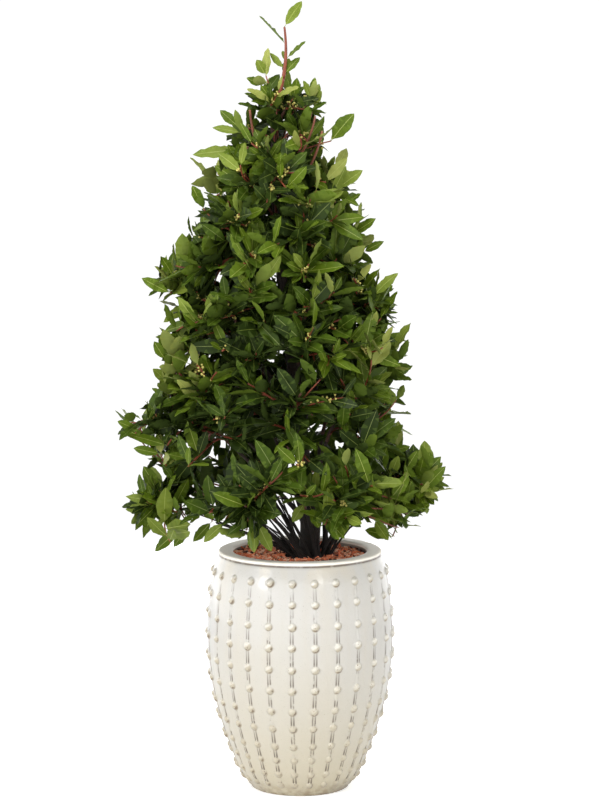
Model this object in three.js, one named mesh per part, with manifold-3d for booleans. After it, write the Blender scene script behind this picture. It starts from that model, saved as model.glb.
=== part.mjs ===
// A bay tree clipped to a loose pyramid, in a tall glazed pot with columns of raised studs.
// Millimetres, +Z up. The origin is the centre of the pot's flat underside, and the front faces -Y.
// The pot is filled with soil under a layer of bark chips. One trunk runs up through the plant,
// boughs leave it or rise beside it, and each bough carries one mass of foliage, a solid of its own.

import * as THREE from "three";
import { mergeVertices } from "three/addons/utils/BufferGeometryUtils.js";
import Module from "manifold-3d";

const wasm = await Module();
wasm.setup();

// ---- driving dimensions ------------------------------------------------------------------------

const GAP = 0.3; // between pieces that meet

const POT = {
  height: 600,
  radii: [124, 153, 173, 191, 206, 218, 225.5, 230, 230.5, 228, 223.5, 216, 201], // outside, going up
  radiiStep: 50,
  wall: 16,
  rimWidth: 36,
  lipSlope: 0.4, // how fast the inside widens below the rim
  floor: 30,
  floorRadius: 112,
  footRounding: 6,
  insideHeights: [130, 270, 420, 570],
};

const STUD = {
  columns: 25, // round the pot, which is also the number of sides of its solid
  columnTurn: -5, // degrees from the front to the nearest column
  heights: [32, 63, 102, 140, 188, 233, 287, 340, 394, 446, 500, 551],
  radius: 9.5,
  rise: 6,
  sides: 4,
};

const GROUND = { moundX: 20, moundRadius: 68, soilTop: 580, chipsBottom: 570, chipsTop: 584, rough: 7 };

const TRUNK = {
  points: [
    [26, 0, 580.3],
    [20, 3, 700],
    [0, 6, 900],
    [-30, 2, 1150],
    [-56, -4, 1400],
    [-66, -2, 1600],
    [-53, 0, 1700],
    [-41, 0, 1766],
  ],
  radii: [27, 17, 15.5, 13.5, 10, 7, 4.2],
  sides: 8,
  rings: 14,
};

// The outline of the whole plant about its own leaning centre line, at each tenth of a metre from 600 up.
const OUTLINE = {
  bottom: 606,
  top: 1956,
  step: 100,
  radii: [262, 350, 374, 334, 318, 322, 292, 262, 240, 206, 168, 128, 66, 50, 26],
  lean: [-34, -26, -20, -50, -34, -44, -36, -62, -54, -60, -52, -42, -44, -46, -18],
};

// Sprays that reach past the outline: where they are, and by how much.
const LOBES = [
  { azimuth: 184, height: 925, reach: 112 },
  { azimuth: 178, height: 1268, reach: 66 },
  { azimuth: 172, height: 1595, reach: 56 },
  { azimuth: 190, height: 715, reach: 56 },
  { azimuth: 192, height: 640, reach: 92 },
  { azimuth: 358, height: 1215, reach: 26 },
  { azimuth: 352, height: 770, reach: 24 },
  { azimuth: 340, height: 700, reach: 20 },
  { azimuth: 262, height: 820, reach: 40 },
  { azimuth: 300, height: 1110, reach: 30 },
  { azimuth: 84, height: 960, reach: 45 },
  { azimuth: 118, height: 700, reach: 35 },
  { azimuth: 60, height: 1330, reach: 35 },
];
const LOBE_WIDTH = { degrees: 24, height: 55 };

// Each tier is a ring of masses. centre gives the radius and height that a mass's space lies round, fork
// is where its bough leaves the ground or the trunk (radius 0), enters is the height where the bough ends
// in the mass, and tip is the height of its stem's tip. A tier without enters has stems on the trunk.
const TIERS = [
  { name: "skirt", count: 6, turn: 4, centre: [262, 735], fork: [41, 580.3], enters: 704, tip: 752 },
  { name: "low", count: 6, turn: 34, centre: [222, 962], fork: [0, 665], enters: 872, tip: 1020 },
  { name: "middle", count: 5, turn: 8, centre: [185, 1178], fork: [0, 890], enters: 1088, tip: 1240 },
  { name: "upper", count: 4, turn: 40, centre: [140, 1378], fork: [0, 1150], enters: 1302, tip: 1436 },
  { name: "top", count: 3, turn: 20, centre: [92, 1542], fork: [0, 1462], tip: 1600 },
  { name: "spire", count: 3, turn: 80, centre: [46, 1688], fork: [0, 1625], tip: 1726 },
];
const LEADER = { name: "leader", centre: [0, 1850], tip: 1890, tipX: -38 };

// The leader's own leaves: the share of the way up its stem, the azimuth, the rise and the roll in
// degrees, and the length.
const LEADER_LEAVES = [
  [0.06, 215, 42, 60, 84],
  [0.1, 330, 48, 40, 90],
  [0.16, 60, 44, 20, 76],
  [0.22, 6, 54, 80, 58],
  [0.3, 130, 46, 30, 70],
  [0.36, 182, 44, 70, 50],
  [0.46, 356, 44, 10, 62],
  [0.58, 280, 40, 30, 46],
  [0.76, 178, 47, 12, 92],
  [1, 8, 56, 84, 76],
];

const BOUGH = { foot: 9, tip: 4.8, sides: 5, rings: 4 };
const STEM = { foot: 4.4, tip: 2.6, rings: 4 };
const TWIG = { foot: 2.9, tip: 1.9, rings: 2, margin: 3 };
const LEAF = { length: 125, width: 52, thickness: 2.6, widest: 0.45, cup: 0.1, sink: 0.2 };
const SHOOTS = {
  count: 132,
  leaves: 4,
  depth: 76, // of a shoot's tip under the outline, to which one of the steps is added
  steps: [0, 8, 16],
  spacing: 11, // between leaves along a shoot
  tries: 9,
};

// The dense middle that the leaves stand out of: a layer, shell thick, some depth under the outline.
const CORE = {
  depth: 60,
  least: 0.4, // of the outline's radius
  shell: 130,
  gap: 2.5,
  bottom: 712,
  droop: 36, // of its lower edge on the left and the right
  top: 1690,
  highest: 1600, // of the centres of the masses that have one
  rings: 8,
  sides: 10,
  rough: 0.12,
};
const YOUNG = { from: 1580, to: 1760, size: 0.68, more: 1.9 }; // smaller and closer growth at the top
const GOLDEN_ANGLE = Math.PI * (3 - Math.sqrt(5));
const SPACE_MARGIN = 1.2; // kept on each side of the border between two masses

// ---- small helpers -------------------------------------------------------------------------------

const radians = THREE.MathUtils.degToRad;
const lerp = THREE.MathUtils.lerp;
const vector = (x, y, z) => new THREE.Vector3(x, y, z);
const UP = vector(0, 0, 1);

/** A repeatable number from 0 to 1 for a pair of whole numbers. */
function chance(a, b) {
  const wave = Math.sin(a * 12.9898 + b * 78.233) * 43758.5453;
  return wave - Math.floor(wave);
}

/** A smooth curve through values that stand at equal steps, read at one place. */
function smoothAt(values, place) {
  const last = values.length - 1;
  const at = Math.min(Math.max(place, 0), last - 1e-9);
  const i = Math.floor(at);
  const t = at - i;
  const [a, b, c, d] = [i - 1, i, i + 1, i + 2].map((k) => values[Math.min(Math.max(k, 0), last)]);
  return b + 0.5 * t * (c - a + t * (2 * a - 5 * b + 4 * c - d + t * (3 * (b - c) + d - a)));
}

/** A point at a radius, an angle in radians and a height about the plant's or the pot's axis. */
function polar(radius, angle, z, axisX = 0) {
  return vector(axisX + radius * Math.cos(angle), radius * Math.sin(angle), z);
}

/** Gathers vertices and triangles for one closed surface. */
class Shell {
  positions = [];
  faces = [];

  add(point) {
    this.positions.push(point.x, point.y, point.z);
    return this.positions.length / 3 - 1;
  }

  ring(points) {
    return points.map((p) => this.add(p));
  }

  /** Joins two rings of equal length. Seen from outside, the second lies above the first. */
  band(below, above) {
    below.forEach((a, i) => {
      const next = (i + 1) % below.length;
      this.faces.push(a, below[next], above[next], a, above[next], above[i]);
    });
  }

  /** A fan from a centre to a ring that runs anticlockwise round it. */
  fan(centre, ring) {
    ring.forEach((a, i) => this.faces.push(centre, a, ring[(i + 1) % ring.length]));
  }

  geometry() {
    const made = new THREE.BufferGeometry();
    made.setAttribute("position", new THREE.Float32BufferAttribute(this.positions, 3));
    made.setIndex(this.faces);
    return made;
  }
}

function solidFrom(geometry) {
  const bare = geometry.clone();
  bare.deleteAttribute("normal");
  bare.deleteAttribute("uv");
  const merged = mergeVertices(bare, 1e-4);
  return new wasm.Manifold(
    new wasm.Mesh({
      numProp: 3,
      vertProperties: merged.attributes.position.array,
      triVerts: new Uint32Array(merged.index.array),
    }),
  );
}

function geometryFrom(solid) {
  const mesh = solid.getMesh();
  const made = new THREE.BufferGeometry();
  made.setAttribute("position", new THREE.Float32BufferAttribute(mesh.vertProperties, 3));
  made.setIndex([...mesh.triVerts]);
  return made;
}

/** The outer surface of the largest connected body, which drops loose scraps and fills sealed hollows. */
function largestBody(solid) {
  return solid.decompose().reduce((best, body) => (body.volume() > best.volume() ? body : best));
}

// ---- the pot, its soil and its bark chips ------------------------------------------------------

const potRadius = (z) => smoothAt(POT.radii, z / POT.radiiStep);

function innerRadius(z) {
  const underLip = POT.radii.at(-1) - POT.rimWidth + POT.lipSlope * (POT.height - z);
  return Math.min(potRadius(z) - POT.wall, underLip);
}

/** A level ring with one corner on each side of every stud column. */
function columnRing(shell, radius, z, axisX = 0) {
  const step = (2 * Math.PI) / STUD.columns;
  const first = -Math.PI / 2 + radians(STUD.columnTurn) - step / 2;
  const corner = (_, i) => polar(radius, first + i * step, z, axisX);
  return shell.ring(Array.from({ length: STUD.columns }, corner));
}

/** One facet of the pot's wall with a stud in its middle. corners run anticlockwise from the lower left. */
function studFacet(shell, corners, angle, z) {
  const size = STUD.radius * (0.45 + (0.55 * potRadius(z)) / Math.max(...POT.radii));
  const foot = Array.from({ length: STUD.sides }, (_, i) => {
    const turn = ((i - 0.5) * 2 * Math.PI) / STUD.sides;
    const height = z + size * Math.sin(turn);
    return shell.add(polar(potRadius(height), angle + (size * Math.cos(turn)) / potRadius(height), height));
  });
  const apex = shell.add(polar(potRadius(z) + STUD.rise, angle, z));
  shell.fan(apex, foot);
  const outer = [1, 2, 3, 0].map((i) => corners[i]);
  shell.band(outer, foot);
}

function potGeometry() {
  const shell = new Shell();
  const step = (2 * Math.PI) / STUD.columns;
  const front = -Math.PI / 2 + radians(STUD.columnTurn);
  const studs = STUD.heights;
  const borders = studs.slice(1).map((z, i) => (z + studs[i]) / 2);
  borders.unshift(studs[0] - (borders[0] - studs[0]));
  borders.push(studs.at(-1) + (studs.at(-1) - borders.at(-1)));

  let below = columnRing(shell, potRadius(0) - POT.footRounding, 0);
  shell.fan(shell.add(vector(0, 0, 0)), [...below].reverse());
  const climb = (radius, z) => {
    const above = columnRing(shell, radius, z);
    shell.band(below, above);
    below = above;
  };
  climb(potRadius(POT.footRounding), POT.footRounding);
  climb(potRadius(borders[0]), borders[0]);
  studs.forEach((z, row) => {
    const top = borders[row + 1];
    const above = columnRing(shell, potRadius(top), top);
    below.forEach((corner, i) => {
      const next = (i + 1) % STUD.columns;
      studFacet(shell, [corner, below[next], above[next], above[i]], front + i * step, z);
    });
    below = above;
  });
  climb(POT.radii.at(-1), POT.height);
  climb(innerRadius(POT.height), POT.height);
  for (const z of [...POT.insideHeights].reverse()) climb(innerRadius(z), z);
  climb(POT.floorRadius, POT.floor);
  shell.fan(shell.add(vector(0, 0, POT.floor)), below);
  return shell.geometry();
}

/** The soil, a plug inside the pot with a low flat mound that the trunk and the stems stand on. */
function soilGeometry() {
  const shell = new Shell();
  const { moundX, moundRadius, soilTop, chipsBottom } = GROUND;
  const bottom = POT.floor + GAP;
  const rings = [
    columnRing(shell, POT.floorRadius - GAP, bottom),
    ...POT.insideHeights.map((z) => columnRing(shell, innerRadius(z) - 2 * GAP, z)),
    columnRing(shell, moundRadius, chipsBottom, moundX),
    columnRing(shell, moundRadius - 2, soilTop, moundX),
  ];
  shell.fan(shell.add(vector(0, 0, bottom)), [...rings[0]].reverse());
  rings.slice(1).forEach((ring, i) => shell.band(rings[i], ring));
  shell.fan(shell.add(vector(moundX, 0, soilTop)), rings.at(-1));
  return shell.geometry();
}

/** The layer of bark chips, a flat ring round the mound with a rough top. */
function chipsGeometry() {
  const shell = new Shell();
  const { moundX, moundRadius, soilTop, chipsBottom, chipsTop, rough } = GROUND;
  const inner = moundRadius + 2;
  const outer = innerRadius(POT.height) - 1;
  const roughRing = (share, row) => {
    const ring = columnRing(shell, lerp(inner, outer, share), chipsTop, moundX * (1 - share));
    ring.forEach((index, i) => {
      shell.positions[3 * index + 2] += rough * (chance(i, row) - 0.5);
    });
    return ring;
  };
  const rings = [
    columnRing(shell, inner, chipsBottom + GAP, moundX),
    columnRing(shell, outer, chipsBottom + GAP),
    roughRing(1, 1),
    roughRing(0.7, 2),
    roughRing(0.35, 3),
    columnRing(shell, inner, soilTop, moundX),
  ];
  rings.forEach((ring, i) => shell.band(ring, rings[(i + 1) % rings.length]));
  return shell.geometry();
}

// ---- the plant's outline and the space of each mass ----------------------------------------------

const leanAt = (z) => smoothAt(OUTLINE.lean, (z - OUTLINE.bottom) / OUTLINE.step);

function outlineRadius(z, angle) {
  const bulge = LOBES.reduce((sum, lobe) => {
    const turn = Math.atan2(Math.sin(angle - radians(lobe.azimuth)), Math.cos(angle - radians(lobe.azimuth)));
    const off = (turn / radians(LOBE_WIDTH.degrees)) ** 2 + ((z - lobe.height) / LOBE_WIDTH.height) ** 2;
    return sum + lobe.reach * Math.exp(-off);
  }, 0);
  return smoothAt(OUTLINE.radii, (z - OUTLINE.bottom) / OUTLINE.step) + bulge;
}

function insideOutline(p) {
  const [dx, dy] = [p.x - leanAt(p.z), p.y];
  return (
    p.z > OUTLINE.bottom && p.z < OUTLINE.top && Math.hypot(dx, dy) < outlineRadius(p.z, Math.atan2(dy, dx))
  );
}

/** A number from -0.5 to 0.5 that is well spread over a run of whole numbers. */
const spreadOf = (i) => ((i * 0.618034) % 1) - 0.5;

/** Every mass with its tier, its direction and the centre that its space lies round. */
const masses = [...TIERS, LEADER].flatMap((tier) => {
  const count = tier.count || 1;
  const [radius, z] = tier.centre;
  return Array.from({ length: count }, (_, i) => {
    const azimuth = radians((tier.turn || 0) + (360 / count) * (i + 0.24 * (chance(i, count) - 0.5)));
    return {
      name: tier.count ? `${tier.name}_${i + 1}` : tier.name,
      tier,
      azimuth,
      centre: polar(radius, azimuth, z + (tier.count ? 36 * spreadOf(i) : 0), leanAt(z)),
      spread: spreadOf(i + 1),
      hasCore: z < CORE.highest,
    };
  });
});

/** True if a point is nearer to this mass's centre than to any other's, by the margin. */
function inSpace(p, mass) {
  const own = p.distanceToSquared(mass.centre);
  return (
    insideOutline(p) &&
    masses.every((other) => {
      if (other === mass) return true;
      const apart = other.centre.distanceTo(mass.centre);
      return (p.distanceToSquared(other.centre) - own) / (2 * apart) > SPACE_MARGIN;
    })
  );
}

/** The radius of the plant's dense middle before it is roughened. */
function coreRadius(z, angle) {
  const outer = outlineRadius(z, angle);
  const round = Math.min(1, 0.72 + (0.28 * (z - CORE.bottom)) / 130);
  return Math.max(outer - CORE.depth, CORE.least * outer) * round;
}

/** How far from the middle a mass begins. Nearer than that only its bough and its stem run. */
const hollowRadius = (mass) => Math.max(coreRadius(mass.centre.z, mass.azimuth) - CORE.shell, BOUGH.foot + 4);

// ---- limbs -------------------------------------------------------------------------------------

/** A round limb along a smooth curve, with flat ends. flatFoot makes the first ring level. */
function limbSolid(curve, radii, sides, rings, flatFoot = false) {
  const shell = new Shell();
  const frames = curve.computeFrenetFrames(rings, false);
  if (flatFoot) {
    frames.normals[0].setZ(0).normalize();
    frames.binormals[0].crossVectors(UP, frames.normals[0]);
  }
  const sections = Array.from({ length: rings + 1 }, (_, k) => {
    const centre = curve.getPointAt(k / rings);
    const radius = smoothAt(radii, (k / rings) * (radii.length - 1));
    return shell.ring(
      Array.from({ length: sides }, (_, i) => {
        const turn = (i * 2 * Math.PI) / sides;
        return centre
          .clone()
          .addScaledVector(frames.normals[k], radius * Math.cos(turn))
          .addScaledVector(frames.binormals[k], radius * Math.sin(turn));
      }),
    );
  });
  sections.slice(1).forEach((ring, k) => shell.band(sections[k], ring));
  shell.fan(shell.add(curve.getPointAt(0)), [...sections[0]].reverse());
  shell.fan(shell.add(curve.getPointAt(1)), sections[rings]);
  const solid = solidFrom(shell.geometry());
  if (solid.volume() < 0) throw new Error("a limb is inside out");
  return solid;
}

const trunkCurve = new THREE.CatmullRomCurve3(TRUNK.points.map((p) => vector(...p)));
const trunkAt = (z) => {
  const [foot, tip] = [TRUNK.points[0][2], TRUNK.points.at(-1)[2]];
  return trunkCurve.getPointAt(Math.min(Math.max((z - foot) / (tip - foot), 0), 1));
};
const trunkSolid = (extra) =>
  limbSolid(trunkCurve, TRUNK.radii.map((r) => r + extra), TRUNK.sides, TRUNK.rings, true);

/** The curve of a mass's bough, from the trunk or the ground to where it enters the mass. */
function boughCurve(mass) {
  const { fork, enters } = mass.tier;
  const onTrunk = fork[0] === 0;
  const foot = onTrunk
    ? trunkAt(fork[1] + 110 * mass.spread)
    : polar(fork[0], mass.azimuth, fork[1], TRUNK.points[0][0]);
  const reach = hollowRadius(mass) - 2 * BOUGH.tip;
  const end = polar(reach, mass.azimuth, enters + 40 * mass.spread, leanAt(enters));
  const bend = foot.clone().lerp(end, 0.5);
  bend.z += (onTrunk ? 0.04 : 0.14) * (end.z - foot.z);
  return new THREE.QuadraticBezierCurve3(foot, bend, end);
}

/** The curve of a mass's stem, which goes on from its bough's tip, the trunk's tip or the trunk. */
function stemCurve(mass) {
  const { tier, azimuth, bough } = mass;
  const isLeader = tier === LEADER;
  const from = bough || (isLeader && trunkCurve);
  const reach = isLeader ? 0 : outlineRadius(tier.tip, azimuth) - SHOOTS.depth;
  const end = polar(reach, azimuth, tier.tip, isLeader ? tier.tipX : leanAt(tier.tip));
  while (!inSpace(end, mass)) end.lerp(mass.centre, 0.1);
  if (!from) {
    const foot = trunkAt(tier.fork[1] + 40 * mass.spread);
    const bend = foot.clone().lerp(end, 0.5).add(vector(0, 0, 6));
    return new THREE.QuadraticBezierCurve3(foot, bend, end);
  }
  const way = from.getTangentAt(1);
  const foot = from.getPointAt(1).addScaledVector(way, GAP);
  const bend = foot.clone().addScaledVector(way, 0.5 * foot.distanceTo(end));
  return new THREE.QuadraticBezierCurve3(foot, bend, end);
}

for (const mass of masses) {
  if (mass.tier.enters) mass.bough = boughCurve(mass);
  mass.stem = stemCurve(mass);
}

/** The limbs and stems as points along them with a radius, for telling what comes near one. */
const limbPoints = [];
function notePoints(curve, footRadius, tipRadius, owner) {
  const count = Math.ceil(curve.getLength() / 6);
  for (let i = 0; i <= count; i++) {
    const radius = lerp(footRadius, tipRadius, i / count);
    limbPoints.push({ at: curve.getPointAt(i / count), radius, owner });
  }
}
notePoints(trunkCurve, TRUNK.radii[1] + 3, TRUNK.radii.at(-1));
for (const mass of masses) {
  if (mass.bough) notePoints(mass.bough, BOUGH.foot, BOUGH.tip);
  notePoints(mass.stem, STEM.foot, STEM.tip, mass);
}

/** True if a point is clear of every limb, and of the stem of every mass but its own. */
const clearOfLimbs = (p, reach, mass) =>
  limbPoints.every(
    (limb) => limb.owner === mass || limb.at.distanceToSquared(p) > (limb.radius + reach) ** 2,
  );

// ---- twigs and leaves ------------------------------------------------------------------------------

/** How far up in the young growth at the top of the plant a height lies, from 0 to 1. */
const youth = (z) => THREE.MathUtils.clamp((z - YOUNG.from) / (YOUNG.to - YOUNG.from), 0, 1);

/** Where the shoots end: a spiral over the whole outline, with even spacing, at depths taken in turn. */
function shootTargets() {
  const steps = 200;
  const heightOf = (i) => lerp(OUTLINE.bottom + 25, OUTLINE.top - 60, (i + 0.5) / steps);
  const weights = Array.from(
    { length: steps },
    (_, i) => outlineRadius(heightOf(i), 1) * lerp(1, YOUNG.more, youth(heightOf(i))),
  );
  const total = weights.reduce((a, b) => a + b);
  const targets = [];
  let sum = 0;
  weights.forEach((weight, i) => {
    sum += weight;
    while (targets.length + 0.5 < (SHOOTS.count * sum) / total) {
      const k = targets.length;
      const z = heightOf(i);
      const angle = k * GOLDEN_ANGLE + 0.5 * (chance(k, 3) - 0.5);
      const step = SHOOTS.steps[k % SHOOTS.steps.length];
      const depth = (SHOOTS.depth + step) * lerp(1, YOUNG.size, youth(z));
      targets.push(polar(Math.max(outlineRadius(z, angle) - depth, 12), angle, z, leanAt(z)));
    }
  });
  LOBES.forEach(({ azimuth, height }) => {
    const angle = radians(azimuth);
    targets.push(polar(outlineRadius(height, angle) - SHOOTS.depth, angle, height, leanAt(height)));
  });
  return targets;
}

/** A twig from a stem to a target: it leaves the stem some way below, and bends to the target. */
function twigCurve(stem, target, order) {
  let nearest = 0;
  for (let t = 0; t <= 1; t += 0.02) {
    if (stem.getPointAt(t).distanceTo(target) < stem.getPointAt(nearest).distanceTo(target)) nearest = t;
  }
  const back = (0.7 * stem.getPointAt(nearest).distanceTo(target)) / stem.getLength();
  const place = THREE.MathUtils.clamp(nearest - back, 0.14, 0.86) + 0.1 * spreadOf(order);
  const foot = onLimb(stem, STEM.rings, place);
  const bend = foot.clone().addScaledVector(stem.getTangentAt(place), 0.35 * foot.distanceTo(target));
  return new THREE.QuadraticBezierCurve3(foot, bend, target);
}

/** True if a twig from one share of its length on stays in the mass's space and clear of the limbs. */
function twigFits(curve, mass, from = 0.15) {
  for (let t = from; t <= 1; t += 0.05) {
    const p = curve.getPointAt(t);
    if (!inSpace(p, mass) || !clearOfLimbs(p, TWIG.margin + TWIG.foot, mass)) return false;
  }
  return true;
}

/** A point on a limb's middle line as built, which is straight between its rings. */
function onLimb(curve, rings, share) {
  const k = Math.min(Math.floor(share * rings), rings - 1);
  return curve.getPointAt(k / rings).lerp(curve.getPointAt((k + 1) / rings), share * rings - k);
}

/** The corners of a leaf: its root, tip, two sides, and the middle of its upper and lower face. */
function leafCorners(leaf) {
  const { root, way, face, length, width } = leaf;
  const side = face.clone().cross(way).normalize();
  const at = (along, across, lift) =>
    root.clone().addScaledVector(way, along).addScaledVector(side, across).addScaledVector(face, lift);
  const cup = LEAF.cup * width;
  return {
    root: at(-LEAF.sink, 0, 0),
    tip: at(length, 0, -0.06 * length),
    left: at(LEAF.widest * length, width / 2, cup),
    right: at(LEAF.widest * length, -width / 2, cup),
    upper: at(LEAF.widest * length, 0, LEAF.thickness * 0.4),
    lower: at(LEAF.widest * length, 0, -LEAF.thickness * 0.6),
  };
}

/** One leaf on a limb, tilted out from a way between the limb's own and straight outwards. */
function leafOn(curve, rings, share, turn, tilt, size) {
  const root = onLimb(curve, rings, share);
  const out = vector(root.x - leanAt(root.z), root.y, 0).normalize();
  const axis = curve.getTangentAt(share).multiplyScalar(0.5).addScaledVector(out, 0.6);
  axis.addScaledVector(UP, 0.15).normalize();
  const side = UP.clone().addScaledVector(axis, -axis.z);
  if (side.lengthSq() < 1e-3) side.set(1, 0, 0);
  side.normalize().applyAxisAngle(axis, turn);
  const way = axis.multiplyScalar(Math.cos(tilt)).addScaledVector(side, Math.sin(tilt)).normalize();
  const [a, b, c] = [1, 2, 3].map((n) => chance(1000 * share + turn, n) - 0.5);
  const face = vector(a, b, c).multiplyScalar(1.2).addScaledVector(out, 0.55).addScaledVector(UP, 0.35);
  face.addScaledVector(way, -face.dot(way)).normalize();
  return { root, way, face, length: LEAF.length * size, width: LEAF.width * size };
}

/**
 * Adds the leaves of one shoot in a spiral up to its tip. One that doesn't fit, or meets a leaf that is
 * already there, is turned and shortened a few times and then left out.
 */
function addLeaves(placed, curve, rings, mass, seed) {
  const step = SHOOTS.spacing / curve.getLength();
  const count = SHOOTS.leaves;
  for (let j = 0; j < count; j++) {
    const share = Math.max(1 - step * (count - 0.7 - j), 0.2);
    const tilt = radians(j === count - 1 ? 18 : lerp(72, 48, j / count));
    const size = (0.86 + 0.28 * chance(seed, j)) * lerp(1, YOUNG.size, youth(curve.getPointAt(1).z));
    for (let k = 0; k < SHOOTS.tries; k++) {
      const turn = j * GOLDEN_ANGLE + 6.28 * chance(seed, 11) + k * 1.3;
      const leaf = leafOn(curve, rings, share, turn, tilt + 0.07 * k, size * (1 - 0.03 * k));
      if (!leafFits(leaf, mass)) continue;
      const solid = leafSolid(leaf);
      if (placed.some((other) => !other.intersect(solid).isEmpty())) continue;
      placed.push(solid);
      break;
    }
  }
}

/** The few leaves of the leader, each set by hand. */
function leaderLeaves(curve) {
  return LEADER_LEAVES.map(([share, azimuth, rise, roll, length]) => {
    const flat = Math.cos(radians(rise));
    const way = polar(flat, radians(azimuth), Math.sin(radians(rise)));
    const side = way.clone().cross(UP).normalize();
    const face = side.cross(way).normalize().applyAxisAngle(way, radians(roll));
    return { root: onLimb(curve, STEM.rings, share), way, face, length, width: 0.4 * length };
  });
}

/** True if a leaf stays in its mass's space, clear of the limbs and mostly outside the dense middle. */
function leafFits(leaf, mass) {
  const { root, tip, left, right } = leafCorners(leaf);
  const middle = root.clone().lerp(tip, 0.7);
  const samples = [tip, left, right, middle, root.clone().lerp(left, 0.6), root.clone().lerp(right, 0.6)];
  const outside = (p, margin) => {
    const [dx, dy] = [p.x - leanAt(p.z), p.y];
    return Math.hypot(dx, dy) > coreRadius(p.z, Math.atan2(dy, dx)) + margin || p.z < CORE.bottom;
  };
  return (
    [...samples, root].every((p) => inSpace(p, mass)) &&
    samples.every((p) => clearOfLimbs(p, 6, mass)) &&
    (!mass.hasCore || (outside(tip, 10) && outside(left, -6) && outside(right, -6)))
  );
}

function leafSolid(leaf) {
  const c = leafCorners(leaf);
  const shell = new Shell();
  const corners = [c.root, c.right, c.tip, c.left, c.upper, c.lower];
  const [root, right, tip, left, upper, lower] = shell.ring(corners);
  shell.fan(upper, [root, right, tip, left]);
  shell.fan(lower, [left, tip, right, root]);
  return solidFrom(shell.geometry());
}

// ---- masses --------------------------------------------------------------------------------------

/** The plant's dense middle as one closed shape, some way under the outline, for sharing out. */
function denseMiddle() {
  const shell = new Shell();
  const rings = Array.from({ length: CORE.rings }, (_, k) => {
    const z = lerp(CORE.bottom, CORE.top, k / (CORE.rings - 1));
    return shell.ring(
      Array.from({ length: CORE.sides }, (_, i) => {
        const angle = ((i + 0.5 * (k % 2)) * 2 * Math.PI) / CORE.sides;
        const rough = 1 + CORE.rough * (chance(i, k + 60) - 0.6);
        const droop = k === 0 ? CORE.droop * Math.abs(Math.cos(angle)) : 0;
        return polar(coreRadius(z, angle) * rough, angle, z - droop, leanAt(z));
      }),
    );
  });
  rings.slice(1).forEach((ring, k) => shell.band(rings[k], ring));
  shell.fan(shell.add(vector(leanAt(CORE.bottom), 0, CORE.bottom)), [...rings[0]].reverse());
  shell.fan(shell.add(vector(leanAt(CORE.top), 0, CORE.top)), rings.at(-1));
  return solidFrom(shell.geometry());
}

/** A mass's share of the dense middle, cut along its space's borders and hollow towards the trunk. */
function coreSolid(mass, middle) {
  const keep = (solid, normal, point) => solid.trimByPlane(normal.toArray(), normal.dot(point));
  let core = middle;
  for (const other of masses) {
    if (other === mass) continue;
    const normal = mass.centre.clone().sub(other.centre).normalize();
    const border = mass.centre.clone().lerp(other.centre, 0.5).addScaledVector(normal, CORE.gap);
    core = keep(core, normal, border);
  }
  const out = polar(1, mass.azimuth, 0);
  const axis = vector(leanAt(mass.centre.z), 0, mass.centre.z);
  return keep(core, out, axis.addScaledVector(out, hollowRadius(mass)));
}

const targets = shootTargets();

/** One mass: its stem, the twigs that reach its share of the targets, their leaves and its core. */
function massSolid(mass, seed, middle, limbCutter) {
  const { tier, stem } = mass;
  const pieces = [limbSolid(stem, [STEM.foot, STEM.tip], 3, STEM.rings)];
  const leaves = tier === LEADER ? leaderLeaves(stem).map(leafSolid) : [];
  if (tier !== LEADER) {
    targets.forEach((target, k) => {
      if (!inSpace(target, mass)) return;
      const twig = twigCurve(stem, target, pieces.length);
      if (!twigFits(twig, mass)) return;
      pieces.push(limbSolid(twig, [TWIG.foot, TWIG.tip], 3, TWIG.rings));
      addLeaves(leaves, twig, TWIG.rings, mass, k);
    });
    addLeaves(leaves, stem, STEM.rings, mass, 500 + seed);
  }
  if (mass.hasCore) pieces.push(coreSolid(mass, middle));
  return largestBody(wasm.Manifold.union([...pieces, ...leaves]).subtract(limbCutter));
}

// ---- the whole plant -------------------------------------------------------------------------------

const FINISH = {
  glaze: { color: 0xe6e0d0, roughness: 0.28, metalness: 0 },
  soil: { color: 0x2a201a, roughness: 1, metalness: 0 },
  chips: { color: 0x8a4a34, roughness: 0.95, metalness: 0 },
  bark: { color: 0x4a3a2c, roughness: 0.9, metalness: 0 },
  foliage: { color: 0x3f6b24, roughness: 0.5, metalness: 0 },
};

const plant = new THREE.Group();
plant.name = "potted_bay_pyramid";

function place(name, geometry, finish) {
  const mesh = new THREE.Mesh(geometry, new THREE.MeshStandardMaterial(finish));
  mesh.name = name;
  plant.add(mesh);
}

place("pot", potGeometry(), FINISH.glaze);
place("soil", soilGeometry(), FINISH.soil);
place("bark_chips", chipsGeometry(), FINISH.chips);
place("trunk", geometryFrom(trunkSolid(0)), FINISH.bark);

const boughSolid = (mass, extra) => {
  const onGround = mass.tier.fork[0] > 0;
  return limbSolid(mass.bough, [BOUGH.foot + extra, BOUGH.tip + extra], BOUGH.sides, BOUGH.rings, onGround);
};
const withBoughs = masses.filter((mass) => mass.bough);
const trunkCutter = trunkSolid(GAP);
const limbCutter = wasm.Manifold.union([trunkCutter, ...withBoughs.map((mass) => boughSolid(mass, GAP))]);
const middle = denseMiddle();

for (const mass of withBoughs) {
  const bough = boughSolid(mass, 0);
  place(`bough_${mass.name}`, geometryFrom(largestBody(bough.subtract(trunkCutter))), FINISH.bark);
}
masses.forEach((mass, seed) => {
  place(`foliage_${mass.name}`, geometryFrom(massSolid(mass, seed, middle, limbCutter)), FINISH.foliage);
});

export default plant;
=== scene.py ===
# A bay tree clipped to a loose pyramid, in a tall glazed pot with columns of raised studs.
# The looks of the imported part. Sizes are in millimetres, as in the part's own source, and turn into
# metres only where a mesh is made. +Z is up, the front faces -Y.
import math

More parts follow.
